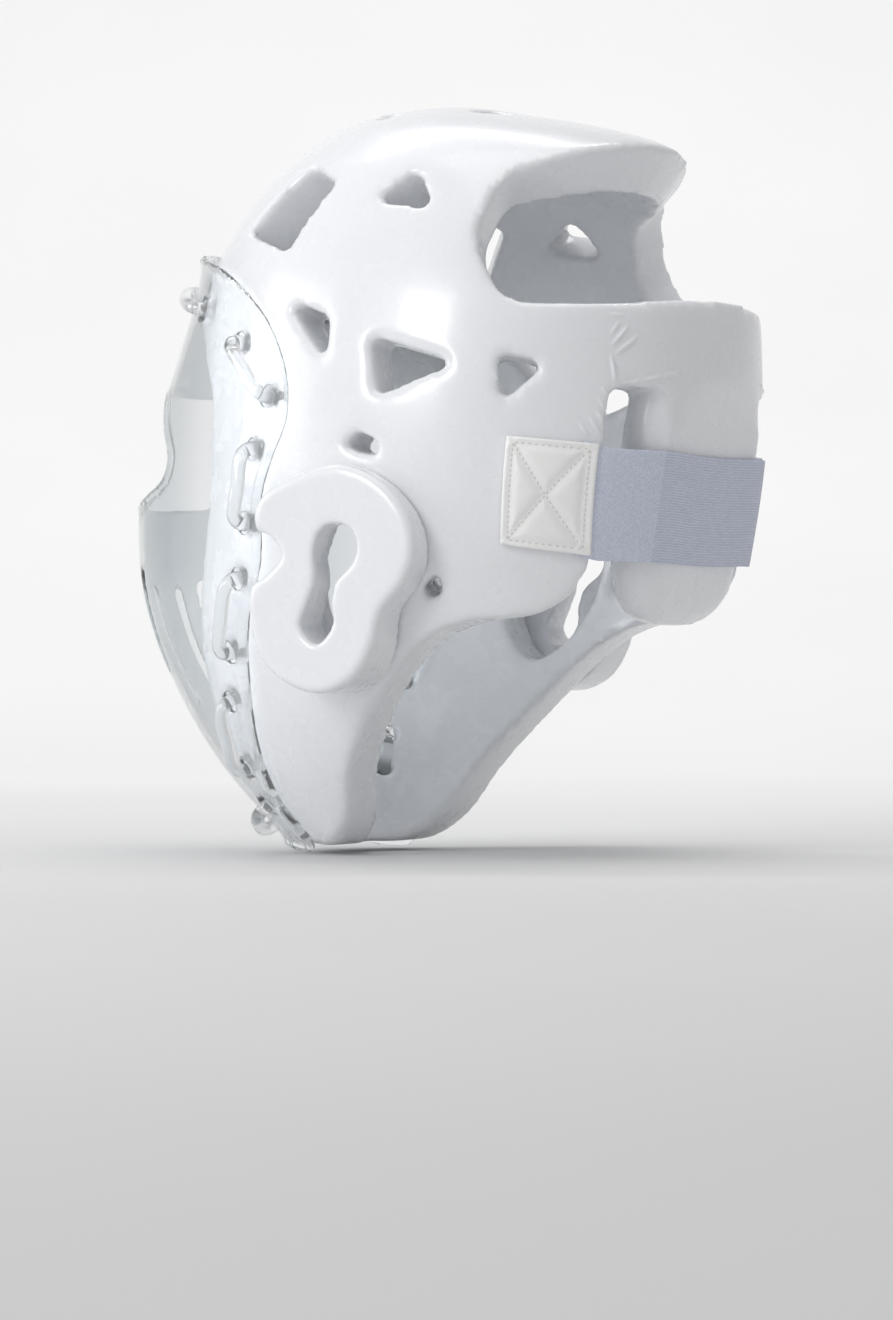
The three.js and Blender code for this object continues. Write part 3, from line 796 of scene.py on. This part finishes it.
# %% Build the ear guards
GUARD_OUTLINE = [
    (-31, -120.5), (-21, -115), (-2, -110), (13, -115), (24, -126), (27.5, -139), (24, -149.5), (15, -160.5),
    (12, -171), (5, -182), (-7, -187.5), (-20, -185), (-31, -176), (-35.5, -163), (-35, -151), (-29, -147),
    (-23.5, -140.5), (-28, -134), (-33, -132), (-34, -126.5),
]
KEYHOLE_OUTLINE = [
    (-2, -130), (4, -132.5), (6, -138), (4, -144), (-2, -150), (-3.5, -156), (-3.5, -165), (-9.5, -171),
    (-15.5, -165), (-13, -157), (-10, -149), (-10.5, -140), (-8, -132.5),
]
GUARD_ROOT_X, GUARD_FACE_X, GUARD_EDGE = 57, 104, 1.7
GUARD_VOXEL, GUARD_ROUNDS = 1.1, 4
CLEARANCE = 0.4


def ear_guard():
    bm = flat_ring(smooth_line(GUARD_OUTLINE, closed=True))
    push(bm, GUARD_FACE_X - GUARD_EDGE - GUARD_ROOT_X)
    bmesh.ops.recalc_face_normals(bm, faces=bm.faces)
    outer_cap = [face for face in bm.faces if len(face.verts) > 4 and face.normal.z > 0]
    bmesh.ops.inset_region(bm, faces=outer_cap, thickness=GUARD_EDGE, depth=GUARD_EDGE, use_even_offset=True)
    bmesh.ops.transform(bm, matrix=FROM_SIDE @ Matrix.Translation((0, 0, GUARD_ROOT_X)), verts=bm.verts)
    block = as_object("ear_guard", bm)
    keyhole = prism("keyhole", smooth_line(KEYHOLE_OUTLINE, closed=True), FROM_SIDE, 0, FAR)
    block = combine(block, "DIFFERENCE", [keyhole, foam_skin("seat", CLEARANCE)])
    bm = even_mesh(block, GUARD_VOXEL)
    soften(bm, GUARD_ROUNDS)
    return finish_piece("ear_guard_left_skin", bm, vinyl, "ear_guard_left")


guard = ear_guard()
other_guard = mirrored_copy(guard, "ear_guard_right_skin", "ear_guard_right")

# %% [markdown]
# ## Clear plastic
# The face shield is hard clear plastic with a faint grey-blue tint of its own, and the lace is a soft clear
# tube that is a little milky. Both are a glass-like shader on a wall with a real thickness, so the bends and
# edges catch the light by themselves. In front of the face, where one sees through two walls into the dim
# inside, the shield's colour is painted a darker grey-blue: a painted shade, which the lace gets very
# faintly.
# A slow bump keeps the moulding from looking like flat glass.

# %% Clear plastics
# The painted shade in front of the face starts at the first y and is full at the second.
PAINTED_SHADE_FROM, PAINTED_SHADE_FULL = -70, -95


def let_light_through(tree, shader, colour):
    """A thin clear wall throws almost no shadow, so shadow rays meet a tinted transparent surface."""
    clear = add_node(tree, "ShaderNodeBsdfTransparent")
    tree.links.new(colour, clear.inputs["Color"])
    ray = add_node(tree, "ShaderNodeLightPath")
    mix = add_node(tree, "ShaderNodeMixShader")
    tree.links.new(ray.outputs["Is Shadow Ray"], mix.inputs["Fac"])
    tree.links.new(shader.outputs["BSDF"], mix.inputs[1])
    tree.links.new(clear.outputs["BSDF"], mix.inputs[2])
    tree.links.new(mix.outputs["Shader"], tree.nodes["Material Output"].inputs["Surface"])


def clear_material(name, sides, front, roughness, clearness, ior, ripple, ripple_scale):
    """Clear plastic in its own tint at the sides, with a painted shade that darkens it towards the front."""
    material, tree, shader = new_material(name, {
        "Transmission Weight": clearness, "IOR": ior, "Coat Weight": 1.0, "Coat Roughness": 0.03})
    place = object_coordinates(tree)
    bump(tree, shader, noise(tree, place, ripple_scale, 2), ripple * MM, 0.6)
    low, high = roughness
    vary(tree, shader, "Roughness", noise(tree, place, 60, 4), (0.35, grey(low)), (0.8, grey(high)))
    _, y, _ = split_axes(tree, place)
    # Painted shade: the base colour, and the shadow colour taken from it, get darker towards the front.
    past_edge = calculate(tree, "SUBTRACT", PAINTED_SHADE_FROM * MM, y)
    share = calculate(tree, "DIVIDE", past_edge, (PAINTED_SHADE_FROM - PAINTED_SHADE_FULL) * MM, clamp=True)
    colour = vary(tree, shader, "Base Color", share, (0, sides), (1, front))
    let_light_through(tree, shader, colour)
    return material


# The first colour is the plastic's own tint, and the second is the painted shade in front of the face.
clear_shield = clear_material(
    "clear_shield_plastic", (0.925, 0.94, 0.95), (0.71, 0.745, 0.765), roughness=(0.02, 0.07),
    clearness=0.95, ior=1.13, ripple=0.3, ripple_scale=22)
clear_lace = clear_material(
    "clear_lace_tube", (0.93, 0.94, 0.945), (0.92, 0.93, 0.94), roughness=(0.03, 0.09),
    clearness=0.88, ior=1.22, ripple=0.12, ripple_scale=160)
print("materials", clear_shield.name, clear_lace.name)

# %% [markdown]
# ## The face shield
# The shield is one moulding: brow, eye window, bulging cheeks with breathing slots, and chin. Its wall is
# again the space between two skins, cut to its outline from the side. The eye window has a thicker rounded
# lip, so a ring of round section is joined on along the window's edge before the even mesh is made.

# %% Build the face shield
SHIELD_EDGE = [
    (-FAR, -31), (-100, -32), (-80, -37), (-64, -42.5), (-51, -50), (-36.5, -63), (-28, -80), (-27.5, -94),
    (-33, -106), (-38.5, -120), (-40, -142), (-48, -162), (-53, -187), (-56, -211), (-54, -226), (-46, -240),
    (-62, -239), (-FAR, -239),
]
EYE_WINDOW = [
    # distance from the middle, height
    (0, -79), (22, -79), (38, -82), (50, -94), (57, -105), (54, -113), (43, -118), (24, -122), (0, -123),
]
BREATHING_SLOTS = [
    # distance from the middle, top, bottom
    (9, -150, -192), (21, -147, -188), (33, -144, -180),
]
SLOT_HALF_WIDTH = 2.5
LIP_RADIUS = 1.9
BEAD_RADIUS, BEAD_LIFT = 1.9, 2.0
SHIELD_VOXEL, SHIELD_ROUNDS = 1.2, 3
TUBE_STEPS = 4


def tube(name, line, radius, closed=False):
    """A round bar along a line, as a mesh."""
    curve = bpy.data.curves.new(name, "CURVE")
    curve.dimensions = "3D"
    curve.bevel_depth = radius
    curve.bevel_resolution = TUBE_STEPS
    curve.use_fill_caps = not closed
    spline = curve.splines.new("POLY")
    spline.points.add(len(line) - 1)
    for point, co in zip(spline.points, line):
        point.co = (*co, 1)
    spline.use_cyclic_u = closed
    bm = editable(baked(new_object(name, curve)))
    bmesh.ops.remove_doubles(bm, verts=bm.verts, dist=1e-4)
    return as_object(name, bm)


def window_outline():
    half = EYE_WINDOW[1:-1]
    mirrored = [(-x, z) for x, z in half[::-1]]
    return smooth_line([EYE_WINDOW[0], *half, EYE_WINDOW[-1], *mirrored], closed=True)


def window_lip(outer_tree):
    """A ring along the eye window's edge, in the middle of the wall."""
    line = []
    for x, z in window_outline():
        hit, normal, _, _ = outer_tree.ray_cast(Vector((x, -FAR, z)), Vector((0, 1, 0)))
        line.append(hit - normal * SHIELD_WALL / 2)
    return tube("window_lip", line, LIP_RADIUS, closed=True)


def edge_bead():
    """A bead along the shield's edge, from the left of the chin over the brow to the right of the chin."""
    y, z = smooth_line(SHIELD_EDGE[1:-1]).T
    t = row_at(z)
    left = shield_point(t, angle_at(t, y), BEAD_LIFT)
    return tube("edge_bead", [*left[:0:-1], *(left * (-1, 1, 1))], BEAD_RADIUS)


def breathing_slots():
    for x, top, bottom in BREATHING_SLOTS:
        left, right = x - SLOT_HALF_WIDTH, x + SLOT_HALF_WIDTH
        corners = [(left, top), (right, top), (right, bottom), (left, bottom)]
        yield prism("slots", rounded_corners(corners, SLOT_HALF_WIDTH), FROM_FRONT, -FAR, 0, both_sides=True)


def face_shield():
    inner = skin("shield_inner", lambda t, angle: shield_point(t, angle, 0))
    outer = skin("shield_outer", lambda t, angle: shield_point(t, angle, SHIELD_WALL))
    lip = window_lip(BVHTree.FromObject(outer, bpy.context.evaluated_depsgraph_get()))
    outline = prism("shield_outline", smooth_line(SHIELD_EDGE), FROM_SIDE, -FAR, FAR)
    window = prism("eye_window", window_outline(), FROM_FRONT, -FAR, 0)
    wall = combine(outer, "DIFFERENCE", [inner])
    wall = combine(wall, "INTERSECT", [outline])
    wall = combine(wall, "DIFFERENCE", [window, *breathing_slots(), hole_cutter()])
    wall = combine(wall, "UNION", [lip, edge_bead()])
    bm = even_mesh(wall, SHIELD_VOXEL)
    soften(bm, SHIELD_ROUNDS)
    return finish_piece("face_shield_clear", bm, clear_shield, "face_shield")


face_shield()

# %% [markdown]
# ## The lace
# One clear tube goes out through a hole, along the shield, in through the next hole and along the inside
# of the foam, all the way round the face. Its line is a list of corners, each replaced by two points so
# that it bends instead of turning sharply, and a curve with a round bevel makes the tube.

# %% Build the lace
LACE_BEND, LACE_STRAIGHT, LACE_END = 2.8, math.radians(150), 3


def lace_corners():
    chin = inside_foam(LACE_ROWS[0], -math.pi / 2)[0]
    corners = [chin + (-LACE_END, 0, 0)]
    for i, (t, angle) in enumerate(zip(LACE_ROWS, LACE_ANGLES)):
        inner, outer = inside_foam(t, angle)[0], outside_shield(t, angle)[0]
        if i % 2:
            corners += [outer, inner]
        else:
            between = outside_shield((t + LACE_ROWS[i + 1]) / 2, (angle + LACE_ANGLES[i + 1]) / 2)[0]
            corners += [inner, outer, between]
    return [Vector(corner) for corner in [*corners, chin + (LACE_END, 0, 0)]]


def lace_line():
    corners = lace_corners()
    line = [corners[0]]
    for before, corner, after in zip(corners, corners[1:], corners[2:]):
        back, ahead = before - corner, after - corner
        if back.angle(ahead) > LACE_STRAIGHT:
            line.append(corner)
        else:
            line += [corner + back.normalized() * LACE_BEND, corner + ahead.normalized() * LACE_BEND]
    return smooth_line([*line, corners[-1]], per_span=8)


def mask_lace():
    bm = editable(baked(tube("lace", lace_line(), LACE_RADIUS)))
    return finish_piece("mask_lace_tube", bm, clear_lace, "mask_lace")


mask_lace()
steps = np.diff(lace_line(), axis=0)
print("lace length in mm:", round(np.linalg.norm(steps, axis=1).sum()))

# %% [markdown]
# ## The strap
# The strap is elastic webbing, stretched from patch to patch over the back pad. Near the left patch its
# face is a fine twill with a short pile, and the rest shows fine ribs along its length. The pattern has to
# follow the bend, so the mesh gets a UV map in metres: u along the strap and v across it. A grid is bent to
# the strap's line, and Solidify and Bevel give it the thickness and soft edges of webbing.

# %% Strap material
PILE_END = 33
RIB_PITCH, KNOT_PITCH, TWILL_PITCH = 0.9, 0.7, 1.3


def wave(tree, value, pitch):
    """A sine wave along a value in metres, with its pitch in millimetres."""
    turns = calculate(tree, "MULTIPLY", value, 2 * math.pi / (pitch * MM))
    return calculate(tree, "SINE", turns)


def elastic_material():
    material, tree, shader = new_material(
        "lavender_elastic", {"Roughness": 0.9, "Sheen Weight": 0.35, "Sheen Roughness": 0.4})
    uv = add_node(tree, "ShaderNodeUVMap", uv_map="strap").outputs["UV"]
    along, across, _ = split_axes(tree, uv)
    ribs, knots = wave(tree, across, RIB_PITCH), wave(tree, along, KNOT_PITCH)
    weave = calculate(tree, "ADD", weighted_sum(tree, (ribs, 0.2), (knots, 0.1)), 0.35)
    twill = wave(tree, weighted_sum(tree, (along, 1), (across, 1)), TWILL_PITCH)
    pile = weighted_sum(tree, (noise(tree, uv, 900, 4, 0.7), 0.9), (twill, 0.12))
    picked = add_node(tree, "ShaderNodeMix", data_type="FLOAT")
    tree.links.new(calculate(tree, "LESS_THAN", along, PILE_END * MM), picked.inputs["Factor"])
    tree.links.new(weave, picked.inputs["A"])
    tree.links.new(pile, picked.inputs["B"])
    surface = picked.outputs["Result"]
    bump(tree, shader, surface, 0.5 * MM, 0.9)
    shade = weighted_sum(tree, (surface, 0.7), (noise(tree, uv, 220, 3), 0.15))
    vary(tree, shader, "Base Color", shade, (0.0, (0.47, 0.51, 0.65)), (0.7, (0.81, 0.85, 0.98)))
    return material


elastic = elastic_material()
print("material", elastic.name, "with a pile up to", PILE_END, "mm from the left end")

# %% Build the strap
STRAP_ANGLES, STRAP_PAD_X = (45, 48, 51), (36, 18)
STRAP_WIDTH, STRAP_WALL, STRAP_SEAT, STRAP_TOP, STRAP_DIP = 37.5, 1.8, 0.7, -102.7, 3.5
STRAP_PER_SPAN, STRAP_ACROSS, STRAP_EDGE = 14, 24, 0.5


def strap_corners(z, lift):
    """Points that the strap passes at a height and a lift off the foam, from its left to its right end."""
    turns = np.radians(STRAP_ANGLES)
    on_panel = off_foam(np.full(len(turns), row_at(z)), turns, lift)
    face = PAD_FACE + (z - PAD_LEAN_FROM) * math.tan(PAD_LEAN) + lift
    left = [*on_panel, *(np.array((x, face, z)) for x in STRAP_PAD_X)]
    return [*left, np.array((0, face, z)), *(point * (-1, 1, 1) for point in left[::-1])]


def strap_length():
    """How far along the strap each column of its mesh is."""
    middle = smooth_line(strap_corners(STRAP_TOP - STRAP_WIDTH / 2, STRAP_SEAT), per_span=STRAP_PER_SPAN)
    return np.append(0, np.cumsum(np.linalg.norm(np.diff(middle, axis=0), axis=1)))


def rear_strap():
    length = strap_length()
    columns = len(length) - 1
    bm = new_grid(columns, STRAP_ACROSS)
    uv = bm.loops.layers.uv.new("strap")

    def column_of(vert):
        return round((vert.co.x + 0.5) * columns)

    for face in bm.faces:
        for loop in face.loops:
            loop[uv].uv = (length[column_of(loop.vert)] * MM, loop.vert.co.y * STRAP_WIDTH * MM)
    for vert in bm.verts:
        column = column_of(vert)
        dip = STRAP_DIP * math.sin(math.pi * column / columns)
        z = STRAP_TOP - STRAP_WIDTH / 2 - dip + vert.co.y * STRAP_WIDTH
        line = smooth_line(strap_corners(z, STRAP_SEAT + STRAP_WALL / 2), per_span=STRAP_PER_SPAN)
        vert.co = line[column]
    made = finish_piece("rear_strap_elastic", bm, elastic, "rear_strap")
    wall = made.modifiers.new("webbing", "SOLIDIFY")
    wall.thickness = STRAP_WALL * MM
    wall.offset = 0
    edges = made.modifiers.new("soft_edges", "BEVEL")
    edges.width = STRAP_EDGE * MM
    edges.segments = 2
    edges.limit_method = "ANGLE"
    print("strap length in mm:", round(length[-1]))
    return made


rear_strap()

# %% [markdown]
# ## The patches
# A leatherette patch is sewn over each end of the strap, with a box of stitches and a cross in it. The
# stitches pull the patch down, so the four triangles between them puff up. A grid is bent to the shell,
# its top follows the distance to the nearest stitch line, and the edge next to the strap is folded and
# a little thicker. The stitches are small beads of thread of their own, as a bump would look flat.

# %% Leatherette and thread
def leatherette_material():
    material, tree, shader = new_material("off_white_leatherette", {})
    place = object_coordinates(tree)
    grain = add_node(tree, "ShaderNodeTexVoronoi", Scale=900.0)
    tree.links.new(place, grain.inputs["Vector"])
    height = calculate(tree, "ADD", grain.outputs["Distance"], noise(tree, place, 300, 3))
    bump(tree, shader, height, 0.12 * MM, 0.5)
    cloudy, dull = noise(tree, place, 70, 4), noise(tree, place, 200, 3)
    vary(tree, shader, "Base Color", cloudy, (0.3, (0.885, 0.885, 0.88)), (0.7, (0.93, 0.93, 0.925)))
    vary(tree, shader, "Roughness", dull, (0.3, grey(0.42)), (0.7, grey(0.58)))
    return material


def thread_material():
    material, tree, shader = new_material("pale_grey_thread", {"Roughness": 0.8})
    twist = noise(tree, object_coordinates(tree), 2500, 2)
    bump(tree, shader, twist, 0.1 * MM, 0.6)
    vary(tree, shader, "Base Color", twist, (0.3, (0.66, 0.66, 0.65)), (0.7, (0.79, 0.79, 0.78)))
    return material


leatherette, thread = leatherette_material(), thread_material()
print("materials", leatherette.name, thread.name)

# %% Build the patches
PATCH_CORNERS = np.array([(50, -137), (73, -140.5), (77.5, -103.5), (53.5, -101)], float)
PATCH_SIZE = np.array((24.0, 36.5))
PATCH_FLAT, PATCH_LEAST = 2.7, 0.5
PUFF_HEIGHT, PUFF_REACH = 0.9, 1.6
FOLD_HEIGHT, FOLD_WIDTH = 0.5, 2.2
EDGE_DROP, EDGE_WIDTH = 0.9, 1.1
PATCH_ACROSS, PATCH_UP = 56, 84
STRAP_END_ANGLE, STRAP_END_STEP = math.radians(44.4), 0.02
STITCH_INSET = 2.0


def patch_side_view(u, v):
    """From shares along the patch's width and height to y and z."""
    low_left, low_right, top_right, top_left = PATCH_CORNERS
    u, v = np.atleast_1d(u)[:, None], np.atleast_1d(v)[:, None]
    low, top = low_left + (low_right - low_left) * u, top_left + (top_right - top_left) * u
    return (low + (top - low) * v).T


def stitch_distance(u, v):
    """Distance to the nearest stitch line, in millimetres."""
    width, height = PATCH_SIZE
    x, y = u * width, v * height
    inner_x, inner_y = width - 2 * STITCH_INSET, height - 2 * STITCH_INSET
    slant = math.hypot(inner_x, inner_y)
    cx, cy = x - width / 2, y - height / 2
    cross = [np.abs(cx * inner_y - side * cy * inner_x) / slant for side in (1, -1)]
    sides = [np.abs(x - STITCH_INSET), np.abs(width - STITCH_INSET - x)]
    ends = [np.abs(y - STITCH_INSET), np.abs(height - STITCH_INSET - y)]
    return np.minimum.reduce([*cross, *sides, *ends])


def patch_top(u, v):
    """Height of the patch's face over the foam."""
    width, height = PATCH_SIZE
    edge = np.minimum.reduce([u * width, (1 - u) * width, v * height, (1 - v) * height])
    puff = PUFF_HEIGHT * (1 - np.exp(-((stitch_distance(u, v) / PUFF_REACH) ** 2)))
    fold = FOLD_HEIGHT * smoothstep(1 - (1 - u) * width / FOLD_WIDTH)
    round_edge = EDGE_DROP * (1 - np.clip(edge / EDGE_WIDTH, 0, 1)) ** 2
    return CLEARANCE + PATCH_FLAT + puff + fold - round_edge


def patch_surface(u, v, share):
    """A point between the patch's back, share 0, and its face, share 1."""
    y, z = patch_side_view(u, v)
    t = row_at(z)
    angle = angle_at(t, y)
    over_strap = smoothstep((angle - STRAP_END_ANGLE) / STRAP_END_STEP)
    back = CLEARANCE + (STRAP_SEAT + STRAP_WALL) * over_strap
    top = np.maximum(patch_top(u, v), back + PATCH_LEAST)
    return off_foam(t, angle, back + (top - back) * share)


def strap_patch():
    bm = new_grid(PATCH_ACROSS, PATCH_UP)
    push(bm, 1)
    move_points(bm, lambda x, y, z: patch_surface(x + 0.5, y + 0.5, z))
    return finish_piece("strap_patch_left_skin", bm, leatherette, "strap_patch_left")


patch = strap_patch()
other_patch = mirrored_copy(patch, "strap_patch_right_skin", "strap_patch_right")

# %% Sew the patches
STITCH_PITCH, STITCH_LENGTH, STITCH_RADIUS = 1.7, 1.2, 0.28
STITCH_ROUND, STITCH_RINGS, LOOK_AHEAD = 8, 6, 0.02


def stitch_lines():
    inset = STITCH_INSET / PATCH_SIZE
    low, high = inset, 1 - inset
    corners = [(low[0], low[1]), (high[0], low[1]), (high[0], high[1]), (low[0], high[1])]
    return [*zip(corners, corners[1:] + corners[:1]), (corners[0], corners[2]), (corners[1], corners[3])]


def stitches(mirrored):
    bm = bmesh.new()
    for start, end in stitch_lines():
        start, end = np.array(start), np.array(end)
        count = int(np.linalg.norm((end - start) * PATCH_SIZE) / STITCH_PITCH)
        for share in (np.arange(count) + 0.5) / count:
            here = start + (end - start) * share
            step = (end - start) * LOOK_AHEAD
            middle, ahead = (Vector(patch_surface(*point, 1)[0]) for point in (here, here + step))
            place = Matrix.Translation(middle) @ (ahead - middle).to_track_quat("X", "Z").to_matrix().to_4x4()
            size = Matrix.Diagonal((STITCH_LENGTH / 2, STITCH_RADIUS, STITCH_RADIUS, 1))
            bmesh.ops.create_uvsphere(
                bm, u_segments=STITCH_ROUND, v_segments=STITCH_RINGS, radius=1, matrix=place @ size)
    if mirrored:
        bmesh.ops.transform(bm, matrix=MIRROR, verts=bm.verts)
    return dressed("stitches_right" if mirrored else "stitches_left", bm, thread)


for mirrored in (False, True):
    print("sewn", stitches(mirrored).name)

# %% [markdown]
# ## Studio
# A pale sweep runs under and behind the headgear without a corner, and large soft lights stand round it,
# as in a product studio. The floor lies just under the lowest point of the headgear. The sizes here are in
# metres.

# %% Floor and lights
FLOOR_GAP = 0.001
FLOOR_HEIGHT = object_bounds()[0].z - FLOOR_GAP
SWEEP_FRONT, SWEEP_BACK, SWEEP_BEND, SWEEP_HEIGHT, SWEEP_WIDTH = 4.0, 1.2, 2.6, 2.5, 9.0
SWEEP_STEPS = 120
HEADGEAR = (0, 0, -0.11)
LIGHTS = [
    # name, place, what it points at, width and height, power
    ("key", (1.60, -0.44, 0.52), HEADGEAR, (0.56, 0.60), 8.5),
    ("front", (0.9, -1.5, 0.35), HEADGEAR, (0.9, 0.9), 7.5),
    ("top", (0.3, 0.2, 1.8), HEADGEAR, (1.4, 1.4), 9),
    ("backdrop", (-0.9, -0.5, 2.2), (-2.9, -1.5, 0.3), (2.5, 0.6), 60),
]
WORLD_LIGHT = 0.48


def sweep_profile(along):
    """Distance behind the object and height of the sweep, for lengths along it."""
    turn = np.clip((along - SWEEP_BACK) / SWEEP_BEND, 0, math.pi / 2)
    wall = np.maximum(along - SWEEP_BACK - SWEEP_BEND * math.pi / 2, 0)
    behind = np.minimum(along, SWEEP_BACK) + SWEEP_BEND * np.sin(turn)
    return behind, SWEEP_BEND * (1 - np.cos(turn)) + wall


def floor_material():
    material, tree, shader = new_material("pale_floor", {"Roughness": 0.8})
    cloudy = noise(tree, object_coordinates(tree), 3, 2)
    vary(tree, shader, "Base Color", cloudy, (0.3, grey(0.67)), (0.7, grey(0.69)))
    return material


def sweep():
    length = SWEEP_FRONT + SWEEP_BACK + SWEEP_BEND * math.pi / 2 + SWEEP_HEIGHT
    bm = new_grid(1, SWEEP_STEPS)

    def place(x, y, z):
        behind, height = sweep_profile((y + 0.5) * length - SWEEP_FRONT)
        return np.stack([x * SWEEP_WIDTH, behind, height + FLOOR_HEIGHT], axis=1)

    move_points(bm, place)
    away = CAMERA_TARGET - CAMERA_EYE
    bmesh.ops.rotate(bm, matrix=Matrix.Rotation(math.atan2(-away.x, away.y), 3, "Z"), verts=bm.verts)
    floor = as_object("studio_floor", bm)
    floor.data.materials.append(floor_material())


def soft_light(name, place, target, size, power):
    light = bpy.data.lights.new(name, "AREA")
    light.shape = "RECTANGLE"
    light.size, light.size_y = size
    light.energy = power
    made = new_object(name, light)
    made.location = place
    made.rotation_euler = (Vector(target) - Vector(place)).to_track_quat("-Z", "Y").to_euler()


sweep()
for row in LIGHTS:
    soft_light(*row)
world = bpy.data.worlds.new("studio")
world.use_nodes = True
world.node_tree.nodes["Background"].inputs["Color"].default_value = (1, 1, 1, 1)
world.node_tree.nodes["Background"].inputs["Strength"].default_value = WORLD_LIGHT
bpy.context.scene.world = world
bpy.context.scene.view_settings.view_transform = "Standard"
print("floor at", round(FLOOR_HEIGHT / MM, 1), "mm, with", len(LIGHTS), "lights")
